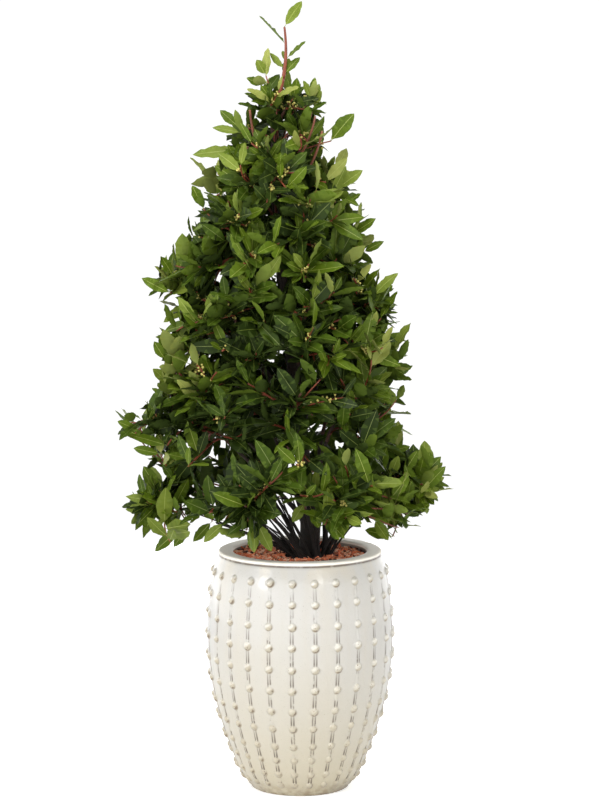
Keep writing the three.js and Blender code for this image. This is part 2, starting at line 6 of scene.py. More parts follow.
import bpy
import numpy as np
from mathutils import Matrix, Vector


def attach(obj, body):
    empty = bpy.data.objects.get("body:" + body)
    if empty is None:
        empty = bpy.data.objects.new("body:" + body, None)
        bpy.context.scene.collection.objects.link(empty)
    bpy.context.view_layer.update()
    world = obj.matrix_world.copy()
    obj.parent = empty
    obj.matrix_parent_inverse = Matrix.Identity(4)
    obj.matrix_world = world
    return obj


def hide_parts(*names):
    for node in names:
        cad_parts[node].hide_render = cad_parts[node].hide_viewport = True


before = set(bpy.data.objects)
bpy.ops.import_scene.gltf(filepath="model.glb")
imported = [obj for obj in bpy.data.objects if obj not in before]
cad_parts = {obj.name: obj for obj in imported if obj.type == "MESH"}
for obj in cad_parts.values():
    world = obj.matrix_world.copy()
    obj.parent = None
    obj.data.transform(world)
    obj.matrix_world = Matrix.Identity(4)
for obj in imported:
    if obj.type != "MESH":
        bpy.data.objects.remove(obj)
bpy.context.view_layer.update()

MM = 0.001

# ---- the plant's driving dimensions, the same values as in the part's source ---------------------

POT = {
    "height": 600,
    "radii": [124, 153, 173, 191, 206, 218, 225.5, 230, 230.5, 228, 223.5, 216, 201],
    "step": 50,
    "wall": 16,
    "rim_width": 36,
    "lip_slope": 0.4,
    "floor": 30,
    "floor_radius": 112,
}
STUD = {
    "columns": 25,
    "turn": -5,
    "heights": [32, 63, 102, 140, 188, 233, 287, 340, 394, 446, 500, 551],
    "radius": 10.2,
    "rise": 7.4,
}
GROUND = {"mound_x": 20, "mound_radius": 68, "soil_top": 580}
TRUNK_POINTS = [
    [26, 0, 580.3], [20, 3, 700], [0, 6, 900], [-30, 2, 1150],
    [-56, -4, 1400], [-66, -2, 1600], [-53, 0, 1700], [-41, 0, 1766],
]
TRUNK_RADII = [27, 17, 15.5, 13.5, 10, 7, 4.2]
OUTLINE = {
    "bottom": 606,
    "top": 1956,
    "step": 100,
    "radii": [262, 350, 374, 334, 318, 322, 292, 262, 240, 206, 168, 128, 66, 50, 26],
    "lean": [-34, -26, -20, -50, -34, -44, -36, -62, -54, -60, -52, -42, -44, -46, -18],
}
LOBES = [  # azimuth, height, reach
    (184, 925, 112), (178, 1268, 66), (172, 1595, 56), (190, 715, 56), (192, 640, 92),
    (358, 1215, 26), (352, 770, 24), (340, 700, 20), (262, 820, 40), (300, 1110, 30),
    (84, 960, 45), (118, 700, 35), (60, 1330, 35),
]
LOBE_DEGREES, LOBE_HEIGHT = 24, 55
HEM = {"low": 604, "high": 708, "steep": 1.9}  # the lower edge of the leaves
HANGING = [(249, 9, 84), (291, 7, 56), (100, 9, 60)]  # azimuth, width, drop of sprays under the hem
UMBRELLA = 240.0  # how much higher the hem is at the axis than at the outline
UMBRELLA_RADIUS = 325  # how far from the axis it has come down
TIERS = [
    dict(name="skirt", count=6, turn=4, centre=(262, 735), fork=(41, 580.3), enters=704, tip=752),
    dict(name="low", count=6, turn=34, centre=(222, 962), fork=(0, 665), enters=872, tip=1020),
    dict(name="middle", count=5, turn=8, centre=(185, 1178), fork=(0, 890), enters=1088, tip=1240),
    dict(name="upper", count=4, turn=40, centre=(140, 1378), fork=(0, 1150), enters=1302, tip=1436),
    dict(name="top", count=3, turn=20, centre=(92, 1542), fork=(0, 1462), enters=None, tip=1600),
    dict(name="spire", count=3, turn=80, centre=(46, 1688), fork=(0, 1625), enters=None, tip=1726),
    dict(name="leader", count=0, turn=0, centre=(0, 1850), fork=None, enters=None, tip=1890),
]
LEADER_TIP_X = -38
LEADER_LEAVES = [  # share up the stem, azimuth, rise, roll, length
    (0.02, 70, 44, 20, 60), (0.06, 6, 52, 62, 52), (0.18, 176, 44, 70, 46), (0.3, 95, 40, 30, 44),
    (0.36, 2, 46, 20, 60), (0.66, 178, 47, 12, 88), (1, 8, 58, 84, 70),
]
OUTER_FROM_TRUNK = 1600  # over this height an outer leaf's shoot comes from the trunk itself
OUTER_LEAVES = [  # foot x, y, z, tip x, y, z, width
    (-147, -18, 1593, -262, -30, 1584, 34), (76, -10, 1613, 127, -22, 1683, 42),
    (-143, -30, 1634, -211, -44, 1650, 23), (-150, 4, 1646, -196, 10, 1688, 25),
    (93, -14, 1497, 151, -22, 1545, 30), (27, -12, 1716, 8, -22, 1760, 20),
    (29, -8, 1720, 36, -14, 1768, 18), (37, 6, 1692, 52, 4, 1735, 13),
    (-83, 0, 1771, -105, -10, 1811, 26), (-92, -8, 1746, -128, -20, 1768, 22),
    (-56, -24, 1692, -94, -40, 1752, 30), (-18, -30, 1716, -4, -44, 1768, 22),
    (-30, 30, 1700, -64, 60, 1752, 26), (20, 40, 1690, 40, 78, 1738, 28),
    (-398, -34, 904, -450, -44, 924, 24), (-326, -60, 868, -419, -56, 898, 27),
    (-329, -30, 886, -371, -40, 945, 29), (-343, -50, 846, -408, -64, 862, 25),
    (-349, -30, 752, -388, -40, 810, 34), (-344, -44, 722, -430, -50, 742, 27),
    (-300, -36, 652, -362, -30, 603, 29), (-272, -64, 672, -312, -70, 618, 27),
    (-182, -170, 694, -238, -178, 652, 27), (-103, -220, 704, -72, -236, 634, 31),
    (-108, -214, 700, -113, -242, 634, 27), (-215, -120, 690, -262, -128, 640, 26),
    (297, -40, 745, 355, -50, 816, 31), (293, -24, 770, 302, -40, 842, 27),
    (292, -60, 742, 256, -72, 822, 30), (271, -70, 700, 318, -84, 726, 27),
    (226, -110, 650, 160, -124, 668, 31), (180, -150, 700, 214, -176, 652, 28),
    (130, -20, 1389, 187, -32, 1422, 27), (154, 10, 1338, 204, 0, 1368, 24),
    (-318, -30, 1241, -388, -36, 1279, 28), (-312, 0, 1280, -339, -6, 1332, 26),
    (-330, -30, 1076, -360, -36, 1122, 24), (-322, 16, 1010, -362, 10, 1052, 26),
    (-236, -60, 1452, -262, -70, 1508, 27), (178, -60, 1236, 232, -72, 1300, 28),
    (188, -80, 792, 212, -96, 866, 30), (222, -70, 790, 240, -84, 846, 26),
    (60, -190, 760, 78, -206, 694, 28), (118, -150, 722, 100, -166, 655, 27),
    (-128, -150, 742, -178, -162, 692, 28), (-48, -205, 765, -92, -215, 743, 26),
    (12, -205, 750, -18, -216, 704, 26), (24, -210, 742, 46, -220, 690, 28),
]
HOLLOWS = [  # azimuth, height, depth: where the shoots stay further in
    (192, 862, 46), (184, 1000, 30), (188, 1060, 20), (186, 1420, 22), (182, 1645, 40), (182, 1560, 36),
    (356, 860, 34), (354, 1010, 20), (262, 1190, 36), (250, 1080, 52), (272, 1000, 44), (256, 900, 52),
    (240, 840, 30), (0, 1360, 18), (204, 655, 50), (330, 640, 30), (95, 820, 25), (60, 1120, 25),
    (130, 1250, 25),
]
SPRIGS = [  # azimuth, height: single shoots that reach right out to the outline
    (206, 642), (176, 1520), (182, 1372), (190, 1310), (178, 1268), (171, 1196), (185, 1102), (186, 1058),
    (180, 1000), (191, 1150), (184, 925), (176, 890), (189, 742), (181, 700), (3, 1540), (356, 1462),
    (2, 1398), (359, 1352), (354, 1066), (2, 1028), (358, 976), (353, 812), (3, 786), (357, 742),
    (232, 1560), (308, 1500), (250, 1330), (285, 1180), (300, 1010), (240, 960), (275, 860), (306, 800),
    (40, 1480), (70, 1380), (110, 1290), (140, 1420), (95, 1150), (62, 1040), (125, 980), (85, 880),
    (181, 1118), (187, 1085), (177, 1040), (184, 1012), (170, 975), (6, 1060), (355, 1100), (150, 1080),
    (30, 880), (108, 780), (58, 760), (145, 800), (212, 1180), (222, 840), (330, 1120),
]
SPRIG_DEPTH = 44
PULLED_IN = {640: 84, 1215: 34, 925: 22, 1110: 20}  # a lobe's height, and how much further in its shoots end
SIDE_SHOOTS = {"reach": [4, -30], "turn": [-0.1, 0.1], "height": [-24, 20]}  # two beside each lobe's own
SINGLE_LEAF_LOBE = 1595  # the height of the lobe that is one long leaf, in OUTER_LEAVES
BOUGH_RADII = (9, 3.8)
BOUGH_BARK = {"foot": 4.6, "flare": 6.2, "flare_length": 55}  # slimmer than the source's, on a flared foot
STEM_RADII = (4.8, 2.6)
TWIG_RADII = (3.2, 2.1)
SHOOT_RADII = (2.6, 1.6)
SHOOTS = {"count": 132, "depth": 76, "steps": (0, 8, 16)}
FINE_SHOOTS = {"count": 420, "depth": 62, "steps": (0, 34, 10, 70, 22, 120)}
LEAF = {"length": 76, "least": 0.55, "most": 1.34, "stalk": 7, "count": 7, "spacing": 15, "tries": 8}
SPRAY = {
    "tilt": (72, 34),  # how far the leaves stand off the shoot, in degrees, at its foot and near its tip
    "end_tilt": 14,  # the same for the last leaf, which is also smaller
    "end_size": 0.8,
    "width": (0.33, 0.46),  # the share of a leaf's length
    "roll": 2.7,  # the range of the blades' own turn, in radians
    "axis": (0.55, 0.25, 1.3),  # how far a leaf's axis follows the shoot, the way out and the way up
    "face": (0.12, 0.3),  # how far its face turns out and up
    "next_tilt": 0.06,  # how a leaf changes from one try to the next
    "next_turn": 1.3,
    "next_size": 0.03,
    "next_cost": 0.15,  # what a later try counts for, against the leaves met
    "spill": 16,  # how far outside the outline a leaf may reach
    "spill_cost": 0.3,
    "hits": 9,  # how crowded its place may be
}
YOUNG = {"from": 1420, "to": 1700, "size": 0.86, "more": 0.22}
CORE = {"depth": 60, "least": 0.4, "shell": 130, "bottom": 712, "rounded": 130}
GOLDEN_ANGLE = math.pi * (3 - math.sqrt(5))
FULL_TURN = 6.28  # near enough for angles drawn by chance

# ---- helpers for numbers and curves --------------------------------------------------------------


def chance(a, b):
    """A repeatable number from 0 to 1: the fraction of a large multiple of a sine of both arguments."""
    wave = np.sin(np.asarray(a) * 12.9898 + np.asarray(b) * 78.233) * 43758.5453
    return wave - np.floor(wave)


def smooth_at(values, place):
    """A Catmull-Rom curve through equally spaced values, read at a place counted in steps."""
    values = np.asarray(values, float)
    last = len(values) - 1
    at = np.clip(place, 0, last - 1e-9)
    i = np.floor(at).astype(int)
    t = at - i
    a, b, c, d = (values[np.clip(i + k, 0, last)] for k in (-1, 0, 1, 2))
    return b + 0.5 * t * (c - a + t * (2 * a - 5 * b + 4 * c - d + t * (3 * (b - c) + d - a)))


def unit(v):
    """Vectors brought to length 1."""
    return v / np.maximum(np.linalg.norm(v, axis=-1, keepdims=True), 1e-12)


def lerp(a, b, t):
    """The value at a share t of the way from a to b."""
    return a + (b - a) * t


def polar(radius, angle, z, axis_x=0.0):
    """Points at a radius, an angle and a height: x is the axis plus radius cos, y is radius sin."""
    x = axis_x + radius * np.cos(angle)
    return np.stack(np.broadcast_arrays(x, radius * np.sin(angle), z), axis=-1).astype(float)


def spread_of(i):
    """Evenly spread numbers from -0.5 to 0.5: the fraction of i times the golden section."""
    return (i * 0.618034) % 1 - 0.5


def noise(points, size, seed=0):
    """Value noise from -1 to 1: random values on a cubic lattice of one size, blended smoothly between."""
    q = np.asarray(points, float) / size
    base = np.floor(q).astype(np.int64)
    f = q - base
    f = f * f * (3 - 2 * f)
    total = np.zeros(q.shape[:-1])
    for corner in range(8):
        off = np.array([corner & 1, corner >> 1 & 1, corner >> 2 & 1])
        cell = base + off
        value = chance(cell[..., 0] + 57 * cell[..., 1] % 911, cell[..., 2] + 13 * seed)
        weight = np.prod(np.where(off == 1, f, 1 - f), axis=-1)
        total += weight * value
    return 2 * total - 1


class Limb:
    """A smooth line in equal steps, with a radius at each end, that other limbs and leaves grow from."""

    def __init__(self, points, foot, tip, steps=40):
        points = np.asarray(points, float)
        gone = np.concatenate([[0], np.cumsum(np.linalg.norm(np.diff(points, axis=0), axis=1))])
        even = np.linspace(0, gone[-1], steps + 1)
        self.line = np.stack([np.interp(even, gone, points[:, k]) for k in range(3)], axis=1)
        self.length = gone[-1]
        self.foot, self.tip, self.steps = foot, tip, steps

    def at(self, share):
        place = np.clip(share, 0, 1) * self.steps
        i = np.minimum(np.floor(place).astype(int), self.steps - 1)
        t = (place - i)[..., None] if np.ndim(place) else place - i
        return self.line[i] * (1 - t) + self.line[i + 1] * t

    def way(self, share):
        return unit(self.at(np.minimum(share + 0.02, 1)) - self.at(np.maximum(share - 0.02, 0)))


def bezier(a, b, c, steps=48):
    """A quadratic curve: (1-t)^2 a + 2 t (1-t) b + t^2 c."""
    t = np.linspace(0, 1, steps + 1)[:, None]
    return (1 - t) ** 2 * a + 2 * t * (1 - t) * b + t**2 * c


def centripetal(points, steps=30):
    """A Catmull-Rom curve through points whose knots are the square roots of the distances between them."""
    p = np.asarray(points, float)
    p = np.vstack([2 * p[0] - p[1], p, 2 * p[-1] - p[-2]])
    knots = np.sqrt(np.linalg.norm(np.diff(p, axis=0), axis=1))
    t = np.linspace(0, 1, steps, endpoint=False)[:, None]
    parts = []
    for i in range(1, len(p) - 2):
        before, here, after = knots[i - 1 : i + 2]
        x0, x1, x2, x3 = p[i - 1 : i + 3]
        leave = ((x1 - x0) / before - (x2 - x0) / (before + here) + (x2 - x1) / here) * here
        arrive = ((x2 - x1) / here - (x3 - x1) / (here + after) + (x3 - x2) / after) * here
        square = -3 * x1 + 3 * x2 - 2 * leave - arrive
        cube = 2 * x1 - 2 * x2 + leave + arrive
        parts.append(x1 + t * (leave + t * (square + t * cube)))
    return np.vstack(parts + [p[-2:-1]])


# ---- the outline and the space of each mass ------------------------------------------------------


def lean_at(z):
    """Where the plant's axis is in x at a height."""
    return smooth_at(OUTLINE["lean"], (np.asarray(z, float) - OUTLINE["bottom"]) / OUTLINE["step"])


def placed(reach, angle, z):
    """Points at a reach from the plant's leaning axis."""
    return polar(reach, angle, z, lean_at(z))


def bell(angle, degrees, width):
    """A bump of height 1 round one direction."""
    turn = np.degrees(np.angle(np.exp(1j * (angle - math.radians(degrees)))))
    return np.exp(-((turn / width) ** 2))


def outline_radius(z, angle, bumps=LOBES):
    """The outline's radius: a smooth curve over the height plus a bell for each lobe that reaches out."""
    z, angle = np.asarray(z, float), np.asarray(angle, float)
    total = smooth_at(OUTLINE["radii"], (z - OUTLINE["bottom"]) / OUTLINE["step"])
    for azimuth, height, reach in bumps:
        level = np.exp(-(((z - height) / LOBE_HEIGHT) ** 2))
        total = total + reach * bell(angle, azimuth, LOBE_DEGREES) * level
    return total


# The outline that shoots end under: the lobes stand out by a share only, because their leaves do the rest.
LOBE_SHARE = 0.3
SHOOT_BUMPS = [(azimuth, height, LOBE_SHARE * reach) for azimuth, height, reach in LOBES
               if height != SINGLE_LEAF_LOBE]
SHOOT_BUMPS += [(azimuth, height, -depth) for azimuth, height, depth in HOLLOWS]


def hem(angle):
    """The lower edge of the leaves: low on the left and the right, and high at the front and the back,
    where the stems show, apart from a few sprays that hang down."""
    hanging = sum(drop * bell(angle, degrees, width) for degrees, width, drop in HANGING)
    return HEM["low"] + (HEM["high"] - HEM["low"]) * np.abs(np.sin(angle)) ** HEM["steep"] - hanging


def room_inside(p, bumps=LOBES, umbrella=0.0):
    """How far inside the outline points lie, in mm. It is negative outside. The umbrella is how much higher
    the lower edge of the leaves is at the axis than at the outline."""
    dx = p[..., 0] - lean_at(p[..., 2])
    angle = np.arctan2(p[..., 1], dx)
    away = np.hypot(dx, p[..., 1])
    room = outline_radius(p[..., 2], angle, bumps) - away
    lower = hem(angle) + umbrella * np.clip(1 - away / UMBRELLA_RADIUS, 0, 1)
    return np.minimum(room, np.minimum(p[..., 2] - lower, OUTLINE["top"] - p[..., 2]))


def core_radius(z, angle):
    """The dense core that the source's masses have: the outline less a depth, and rounded at the bottom."""
    outer = outline_radius(z, angle)
    rounding = np.minimum(1, 0.72 + 0.28 * (z - CORE["bottom"]) / CORE["rounded"])
    return np.maximum(outer - CORE["depth"], CORE["least"] * outer) * rounding


masses = []
for tier in TIERS:
    for i in range(max(tier["count"], 1)):
        count = max(tier["count"], 1)
        azimuth = math.radians(tier["turn"] + 360 / count * (i + 0.24 * (float(chance(i, count)) - 0.5)))
        radius, z = tier["centre"]
        lift = 36 * spread_of(i) if tier["count"] else 0
        masses.append({
            "name": f"{tier['name']}_{i + 1}" if tier["count"] else tier["name"],
            "tier": tier,
            "azimuth": azimuth,
            "centre": polar(radius, azimuth, z + lift, lean_at(z)),
            "spread": spread_of(i + 1),
        })
CENTRES = np.array([m["centre"] for m in masses])


def mass_of(p):
    """The number of the mass whose centre is nearest to a point."""
    return int(np.argmin(np.linalg.norm(CENTRES - p, axis=1)))


# ---- limbs: trunk, boughs, stems -----------------------------------------------------------------

trunk = Limb(centripetal(TRUNK_POINTS), TRUNK_RADII[0], TRUNK_RADII[-1], steps=160)


def trunk_at(z):
    return trunk.at((z - TRUNK_POINTS[0][2]) / (TRUNK_POINTS[-1][2] - TRUNK_POINTS[0][2]))


def grow_bough(mass):
    """A bough's line: a quadratic curve from the ground or the trunk to where it enters its mass."""
    radius, height = mass["tier"]["fork"]
    enters = mass["tier"]["enters"]
    if radius:
        foot = polar(radius, mass["azimuth"], height, TRUNK_POINTS[0][0])
    else:
        foot = trunk_at(height + 110 * mass["spread"])
    hollow = max(core_radius(mass["centre"][2], mass["azimuth"]) - CORE["shell"], BOUGH_RADII[0] + 4)
    end = polar(hollow - 2 * BOUGH_RADII[1], mass["azimuth"], enters + 40 * mass["spread"], lean_at(enters))
    bend = lerp(foot, end, 0.5)
    bend[2] += (0.14 if radius else 0.04) * (end[2] - foot[2])
    return Limb(bezier(foot, bend, end), *BOUGH_RADII)


def grow_stem(mass):
    """A mass's stem: it goes on from the bough's or the trunk's tip, or leaves the trunk, and bends out."""
    tier, azimuth = mass["tier"], mass["azimuth"]
    leader = tier["name"] == "leader"
    carrier = mass.get("bough") or (trunk if leader else None)
    reach = 0 if leader else outline_radius(tier["tip"], azimuth) - SHOOTS["depth"]
    end = polar(reach, azimuth, tier["tip"], LEADER_TIP_X if leader else lean_at(tier["tip"]))
    while mass_of(end) != masses.index(mass) or room_inside(end) < 0:
        end = lerp(end, mass["centre"], 0.1)
    if carrier is None:
        foot = trunk_at(tier["fork"][1] + 40 * mass["spread"])
        return Limb(bezier(foot, lerp(foot, end, 0.5) + [0, 0, 6], end), *STEM_RADII)
    foot, way = carrier.line[-1], carrier.way(1.0)
    bend = foot + way * 0.5 * np.linalg.norm(end - foot)
    return Limb(bezier(foot, bend, end), *STEM_RADII)


for mass in masses:
    if mass["tier"]["enters"]:
        mass["bough"] = grow_bough(mass)
    mass["stem"] = grow_stem(mass)

# ---- twigs: the source's rule, then once more to finer shoots ------------------------------------


def youth(z):
    """How young the growth is at a height: 0 below the young zone, 1 above it."""
    return np.clip((z - YOUNG["from"]) / (YOUNG["to"] - YOUNG["from"]), 0, 1)


RISE = {"heights": (640, 800, 1200), "strengths": (0.28, 0.5, 0.64)}


def rise_at(z):
    """How strongly growth turns upwards: little in the skirt, more the higher it stands."""
    return np.interp(z, RISE["heights"], RISE["strengths"])


def shoot_targets(count, depth, steps, seed):
    """Where shoots end: a golden-angle spiral over the outline, evenly spaced, at depths taken in turn."""
    levels = 400
    heights = lerp(OUTLINE["bottom"] + 25, OUTLINE["top"] - 60, (np.arange(levels) + 0.5) / levels)
    weights = outline_radius(heights, np.full(levels, 1.0)) * lerp(1, YOUNG["more"], youth(heights))
    rising = np.cumsum(weights) / weights.sum()
    k = np.arange(count)
    z = np.interp((k + 0.5) / count, rising, heights)
    angle = k * GOLDEN_ANGLE + 0.5 * (chance(k, 3 + seed) - 0.5) + seed
    depths = (depth + np.array(steps)[k % len(steps)]) * lerp(1, YOUNG["size"], youth(z))
    radius = np.maximum(outline_radius(z, angle, SHOOT_BUMPS) - depths, 12)
    return placed(radius, angle, z)


def grow_twig(carrier, target, order, radii):
    """A twig leaves its carrier some way below the nearest point, and bends over to its target."""
    gaps = np.linalg.norm(carrier.line - target, axis=1)
    nearest = int(np.argmin(gaps))
    back = 0.7 * gaps[nearest] / carrier.length
    place = float(np.clip(nearest / carrier.steps - back, 0.14, 0.86) + 0.1 * spread_of(order))
    foot = carrier.at(place)
    far = np.linalg.norm(target - foot)
    bend = foot + carrier.way(place) * 0.35 * far + lerp(foot, target, 0.5) - foot
    bend = lerp(foot, bend, 0.8) - np.array([0, 0, 0.2 * far * float(rise_at(target[2]))])
    return Limb(bezier(foot, bend, target), *radii, steps=24)


lobes = np.array([lobe for lobe in LOBES if lobe[1] != SINGLE_LEAF_LOBE], float)
lobe_angles, lobe_heights = np.radians(lobes[:, 0]), lobes[:, 1]
lobe_reach = outline_radius(lobe_heights, lobe_angles) - SHOOTS["depth"]
lobe_reach = lobe_reach - np.array([PULLED_IN.get(height, 0) for height in lobe_heights])


def beside_lobes():
    """Where the two side shoots of each lobe end."""
    own = {"reach": lobe_reach, "turn": lobe_angles, "height": lobe_heights}
    reach, turn, height = (np.repeat(own[key], 2) + np.tile(SIDE_SHOOTS[key], len(lobes)) for key in own)
    return placed(reach, turn, height)


def sprig_targets():
    sprigs = np.array(SPRIGS, float)
    angles, heights = np.radians(sprigs[:, 0]), sprigs[:, 1]
    return placed(outline_radius(heights, angles) - SPRIG_DEPTH, angles, heights)


twig_targets = np.vstack([
    shoot_targets(SHOOTS["count"], SHOOTS["depth"], SHOOTS["steps"], 0),
    placed(lobe_reach, lobe_angles, lobe_heights),
])
fine_targets = np.vstack([
    shoot_targets(FINE_SHOOTS["count"], FINE_SHOOTS["depth"], FINE_SHOOTS["steps"], 5),
    beside_lobes(),
    sprig_targets(),
])
UMBRELLA_SLACK = 8  # how far into the open space under the skirt a shoot may still end


def under_umbrella(p):
    """Whether a point hangs in the open space round the foot of the plant."""
    return float(room_inside(p, LOBES, UMBRELLA)) < -UMBRELLA_SLACK


twigs, shoots, reaching = [], [], set()
carriers = {n: [mass["stem"]] for n, mass in enumerate(masses)}
for order, target in enumerate(twig_targets):
    n = mass_of(target)
    if masses[n]["tier"]["name"] == "leader" or under_umbrella(target):
        continue
    twig = grow_twig(masses[n]["stem"], target, len(carriers[n]), TWIG_RADII)
    carriers[n].append(twig)
    twigs.append(twig)
    if order >= SHOOTS["count"]:
        reaching.add(id(twig))


def nearest_limb(p):
    """Of the mass that a point lies in, the limb that passes nearest to it."""
    return min(carriers[mass_of(p)], key=lambda limb: np.linalg.norm(limb.line - p, axis=1).min())


def grow_shoot(target, order):
    """A shoot from the nearest limb of the mass that its end lies in."""
    carrier = nearest_limb(target)
    shoot = grow_twig(carrier, target, order, SHOOT_RADII)
    shoot.carrier = carrier
    return shoot


for order, target in enumerate(fine_targets):
    if masses[mass_of(target)]["tier"]["name"] != "leader" and not under_umbrella(target):
        shoot = grow_shoot(target, order)
        shoots.append(shoot)
        if order >= FINE_SHOOTS["count"]:
            reaching.add(id(shoot))

# Thin stems that rise from the ground beside the trunk, fan out and end among the lowest leaves.
BASE_STEMS = {
    "count": 40,
    "foot": (14, 50),
    "reach": (110, 290),
    "height": (670, 800),
    "radius": (2.1, 3.7),
    "tip": 1.6,
}


def base_stem(k):
    drawn = [float(chance(k, 71 + n)) for n in range(5)]
    foot_share, reach_share, height_share, turn_share, radius_share = drawn
    angle = k * GOLDEN_ANGLE + 0.4
    foot = polar(lerp(*BASE_STEMS["foot"], foot_share), angle, GROUND["soil_top"], TRUNK_POINTS[0][0])
    reach, height = lerp(*BASE_STEMS["reach"], reach_share), lerp(*BASE_STEMS["height"], height_share)
    end = placed(reach, angle + 0.7 * (turn_share - 0.5), height)
    bend = lerp(foot, end, 0.45) + np.array([0, 0, 0.12 * (end[2] - foot[2])])
    return Limb(bezier(foot, bend, end), lerp(*BASE_STEMS["radius"], radius_share), BASE_STEMS["tip"])


base_stems = [base_stem(k) for k in range(BASE_STEMS["count"])]

# Upright stems that were clipped at the top of the plant.
CLIPPED_STEMS = [  # x, y and z of the cut, length, radius
    (54, -62, 1640, 190, 2.8), (37, -78, 1676, 170, 2.5), (-122, -40, 1690, 190, 2.9),
    (-128, -60, 1602, 180, 2.9), (30, -30, 1690, 150, 2.2), (-62, -92, 1560, 150, 2.8),
    (-96, 30, 1600, 150, 2.6), (26, 64, 1655, 160, 2.8), (96, 20, 1500, 150, 2.6),
    (-20, 70, 1700, 120, 2.4),
]


def clipped_stem(x, y, z, length, radius):
    foot = trunk_at(z - length)
    bend = np.array([lerp(foot[0], x, 0.8), lerp(foot[1], y, 0.8), z - 0.62 * length])
    return Limb(bezier(foot, bend, np.array([x, y, z], float)), radius + 0.8, radius)


clipped_stems = [clipped_stem(*row) for row in CLIPPED_STEMS]

# ---- leaves: where each one goes -----------------------------------------------------------------

CELL = 9.0  # a grid of cells that knows where leaves are already
GRID_LOW = np.array([-480.0, -430.0, 560.0])
occupied = np.zeros((106, 96, 160), bool)
SAMPLE_ALONG = np.repeat([0.28, 0.5, 0.72, 0.95], 3)
SAMPLE_ACROSS = np.tile([-0.3, 0.0, 0.3], 4) * np.repeat([0.8, 1.0, 0.8, 0.2], 3)


def cells(points):
    """The cells of the grid that points lie in."""
    index = np.floor((points - GRID_LOW) / CELL).astype(int)
    return tuple(np.moveaxis(np.clip(index, 0, np.array(occupied.shape) - 1), -1, 0))


def samples(root, way, face, length, width):
    """Twelve points over a blade: three across at each of four places along it."""
    side = np.cross(face, way)
    along = LEAF["stalk"] + length[..., None] * SAMPLE_ALONG
    middle = root[..., None, :] + way[..., None, :] * along[..., None]
    return middle + side[..., None, :] * (width[..., None] * SAMPLE_ACROSS)[..., None]


REACH_MIDDLE = np.array([-40.0, 0.0, 1200.0])  # the middle and half the size of the box that leaves keep to
REACH_HALF = np.array([418.0, 392.0, 800.0])
OUT_OF_REACH = 50  # what leaving the box adds to a leaf's spill
TOO_FAR = 1000  # the cost of a place that is out of the question
OPEN_BELOW = 900.0  # under this height no leaves grow deep inside, so that stems and gaps show
OPEN_DEPTH = 110
LEADER_SPRAY = 9000  # the number of the leader's own spray, and the first of the single leaves'
leaf_rows = []
leafy = set()  # the limbs that carry leaves


def add_leaf(root, way, face, length, width, spray, rank):
    """Note a leaf and the cells it fills. Its rank goes from 0 at the shoot's foot to 1 at its tip."""
    leaf_rows.append((*root, *way, *face, length, width, spray, rank))
    occupied[cells(samples(root, way, face, np.float64(length), np.float64(width)))] = True


def add_spray(limb, spray, count):
    """The leaves of one shoot, in a spiral up to its tip. A leaf's upper face looks to the shoot's tip and
    then rolls by chance. Each leaf is tried at several turns and tilts, and goes where it meets the fewest
    leaves that are already there and stays inside the outline."""
    step = LEAF["spacing"] / limb.length
    young = lerp(1, YOUNG["size"], float(youth(limb.line[-1][2])))
    bumps = LOBES if id(limb) in reaching else SHOOT_BUMPS
    forward, outward, upward = SPRAY["axis"]
    k = np.arange(LEAF["tries"])
    for j in range(count):
        last = j == count - 1
        share = max(1 - step * (count - 0.7 - j), 0.2)
        tilt = math.radians(SPRAY["end_tilt"] if last else lerp(*SPRAY["tilt"], j / count))
        tilt = tilt + SPRAY["next_tilt"] * k
        size = lerp(LEAF["least"], LEAF["most"], float(chance(spray, j)) ** 0.8) * young
        size *= SPRAY["end_size"] if last else 1
        turn = j * GOLDEN_ANGLE + FULL_TURN * float(chance(spray, 11)) + k * SPRAY["next_turn"]
        root = limb.at(share)
        out = unit(np.array([root[0] - float(lean_at(root[2])), root[1], 0.0]))
        rise = np.array([0, 0, upward * float(rise_at(root[2]))])
        axis = unit(forward * limb.way(share) + outward * out + rise)
        side = unit(np.array([0, 0, 1.0]) - axis * axis[2])
        other = np.cross(axis, side)
        around = np.cos(turn)[:, None] * side + np.sin(turn)[:, None] * other
        way = unit(np.cos(tilt)[:, None] * axis + np.sin(tilt)[:, None] * around)
        natural = unit(axis - way * (way @ axis)[:, None])
        roll = SPRAY["roll"] * (chance(1000 * share + turn, 1) - 0.5)
        face = np.cos(roll)[:, None] * natural + np.sin(roll)[:, None] * np.cross(way, natural)
        face = face + SPRAY["face"][0] * out + np.array([0, 0, SPRAY["face"][1]])
        face = unit(face - way * np.sum(face * way, axis=1, keepdims=True))
        length = LEAF["length"] * size * (1 - SPRAY["next_size"] * k)
        width = length * lerp(*SPRAY["width"], float(chance(spray, j + 40)))
        roots = np.broadcast_to(root, way.shape)
        points = samples(roots, way, face, length, width)
        spill = np.maximum(-room_inside(points, bumps, UMBRELLA), 0).max(axis=1)
        spill = spill + OUT_OF_REACH * (np.abs(points - REACH_MIDDLE) > REACH_HALF).any(axis=(1, 2))
        hits = occupied[cells(points)].sum(axis=1)
        cost = np.where(spill > SPRAY["spill"], TOO_FAR, SPRAY["spill_cost"] * spill)
        score = hits + cost + SPRAY["next_cost"] * k
        best = int(np.argmin(score))
        if score[best] < SPRAY["hits"]:
            add_leaf(root, way[best], face[best], length[best], width[best], spray, j / (count - 1))
            leafy.add(id(limb))


leader = masses[-1]["stem"]
SMALL_SPRAYS_ABOVE, SMALL_SPRAY = 1560, 4  # over this height a twig carries so many leaves


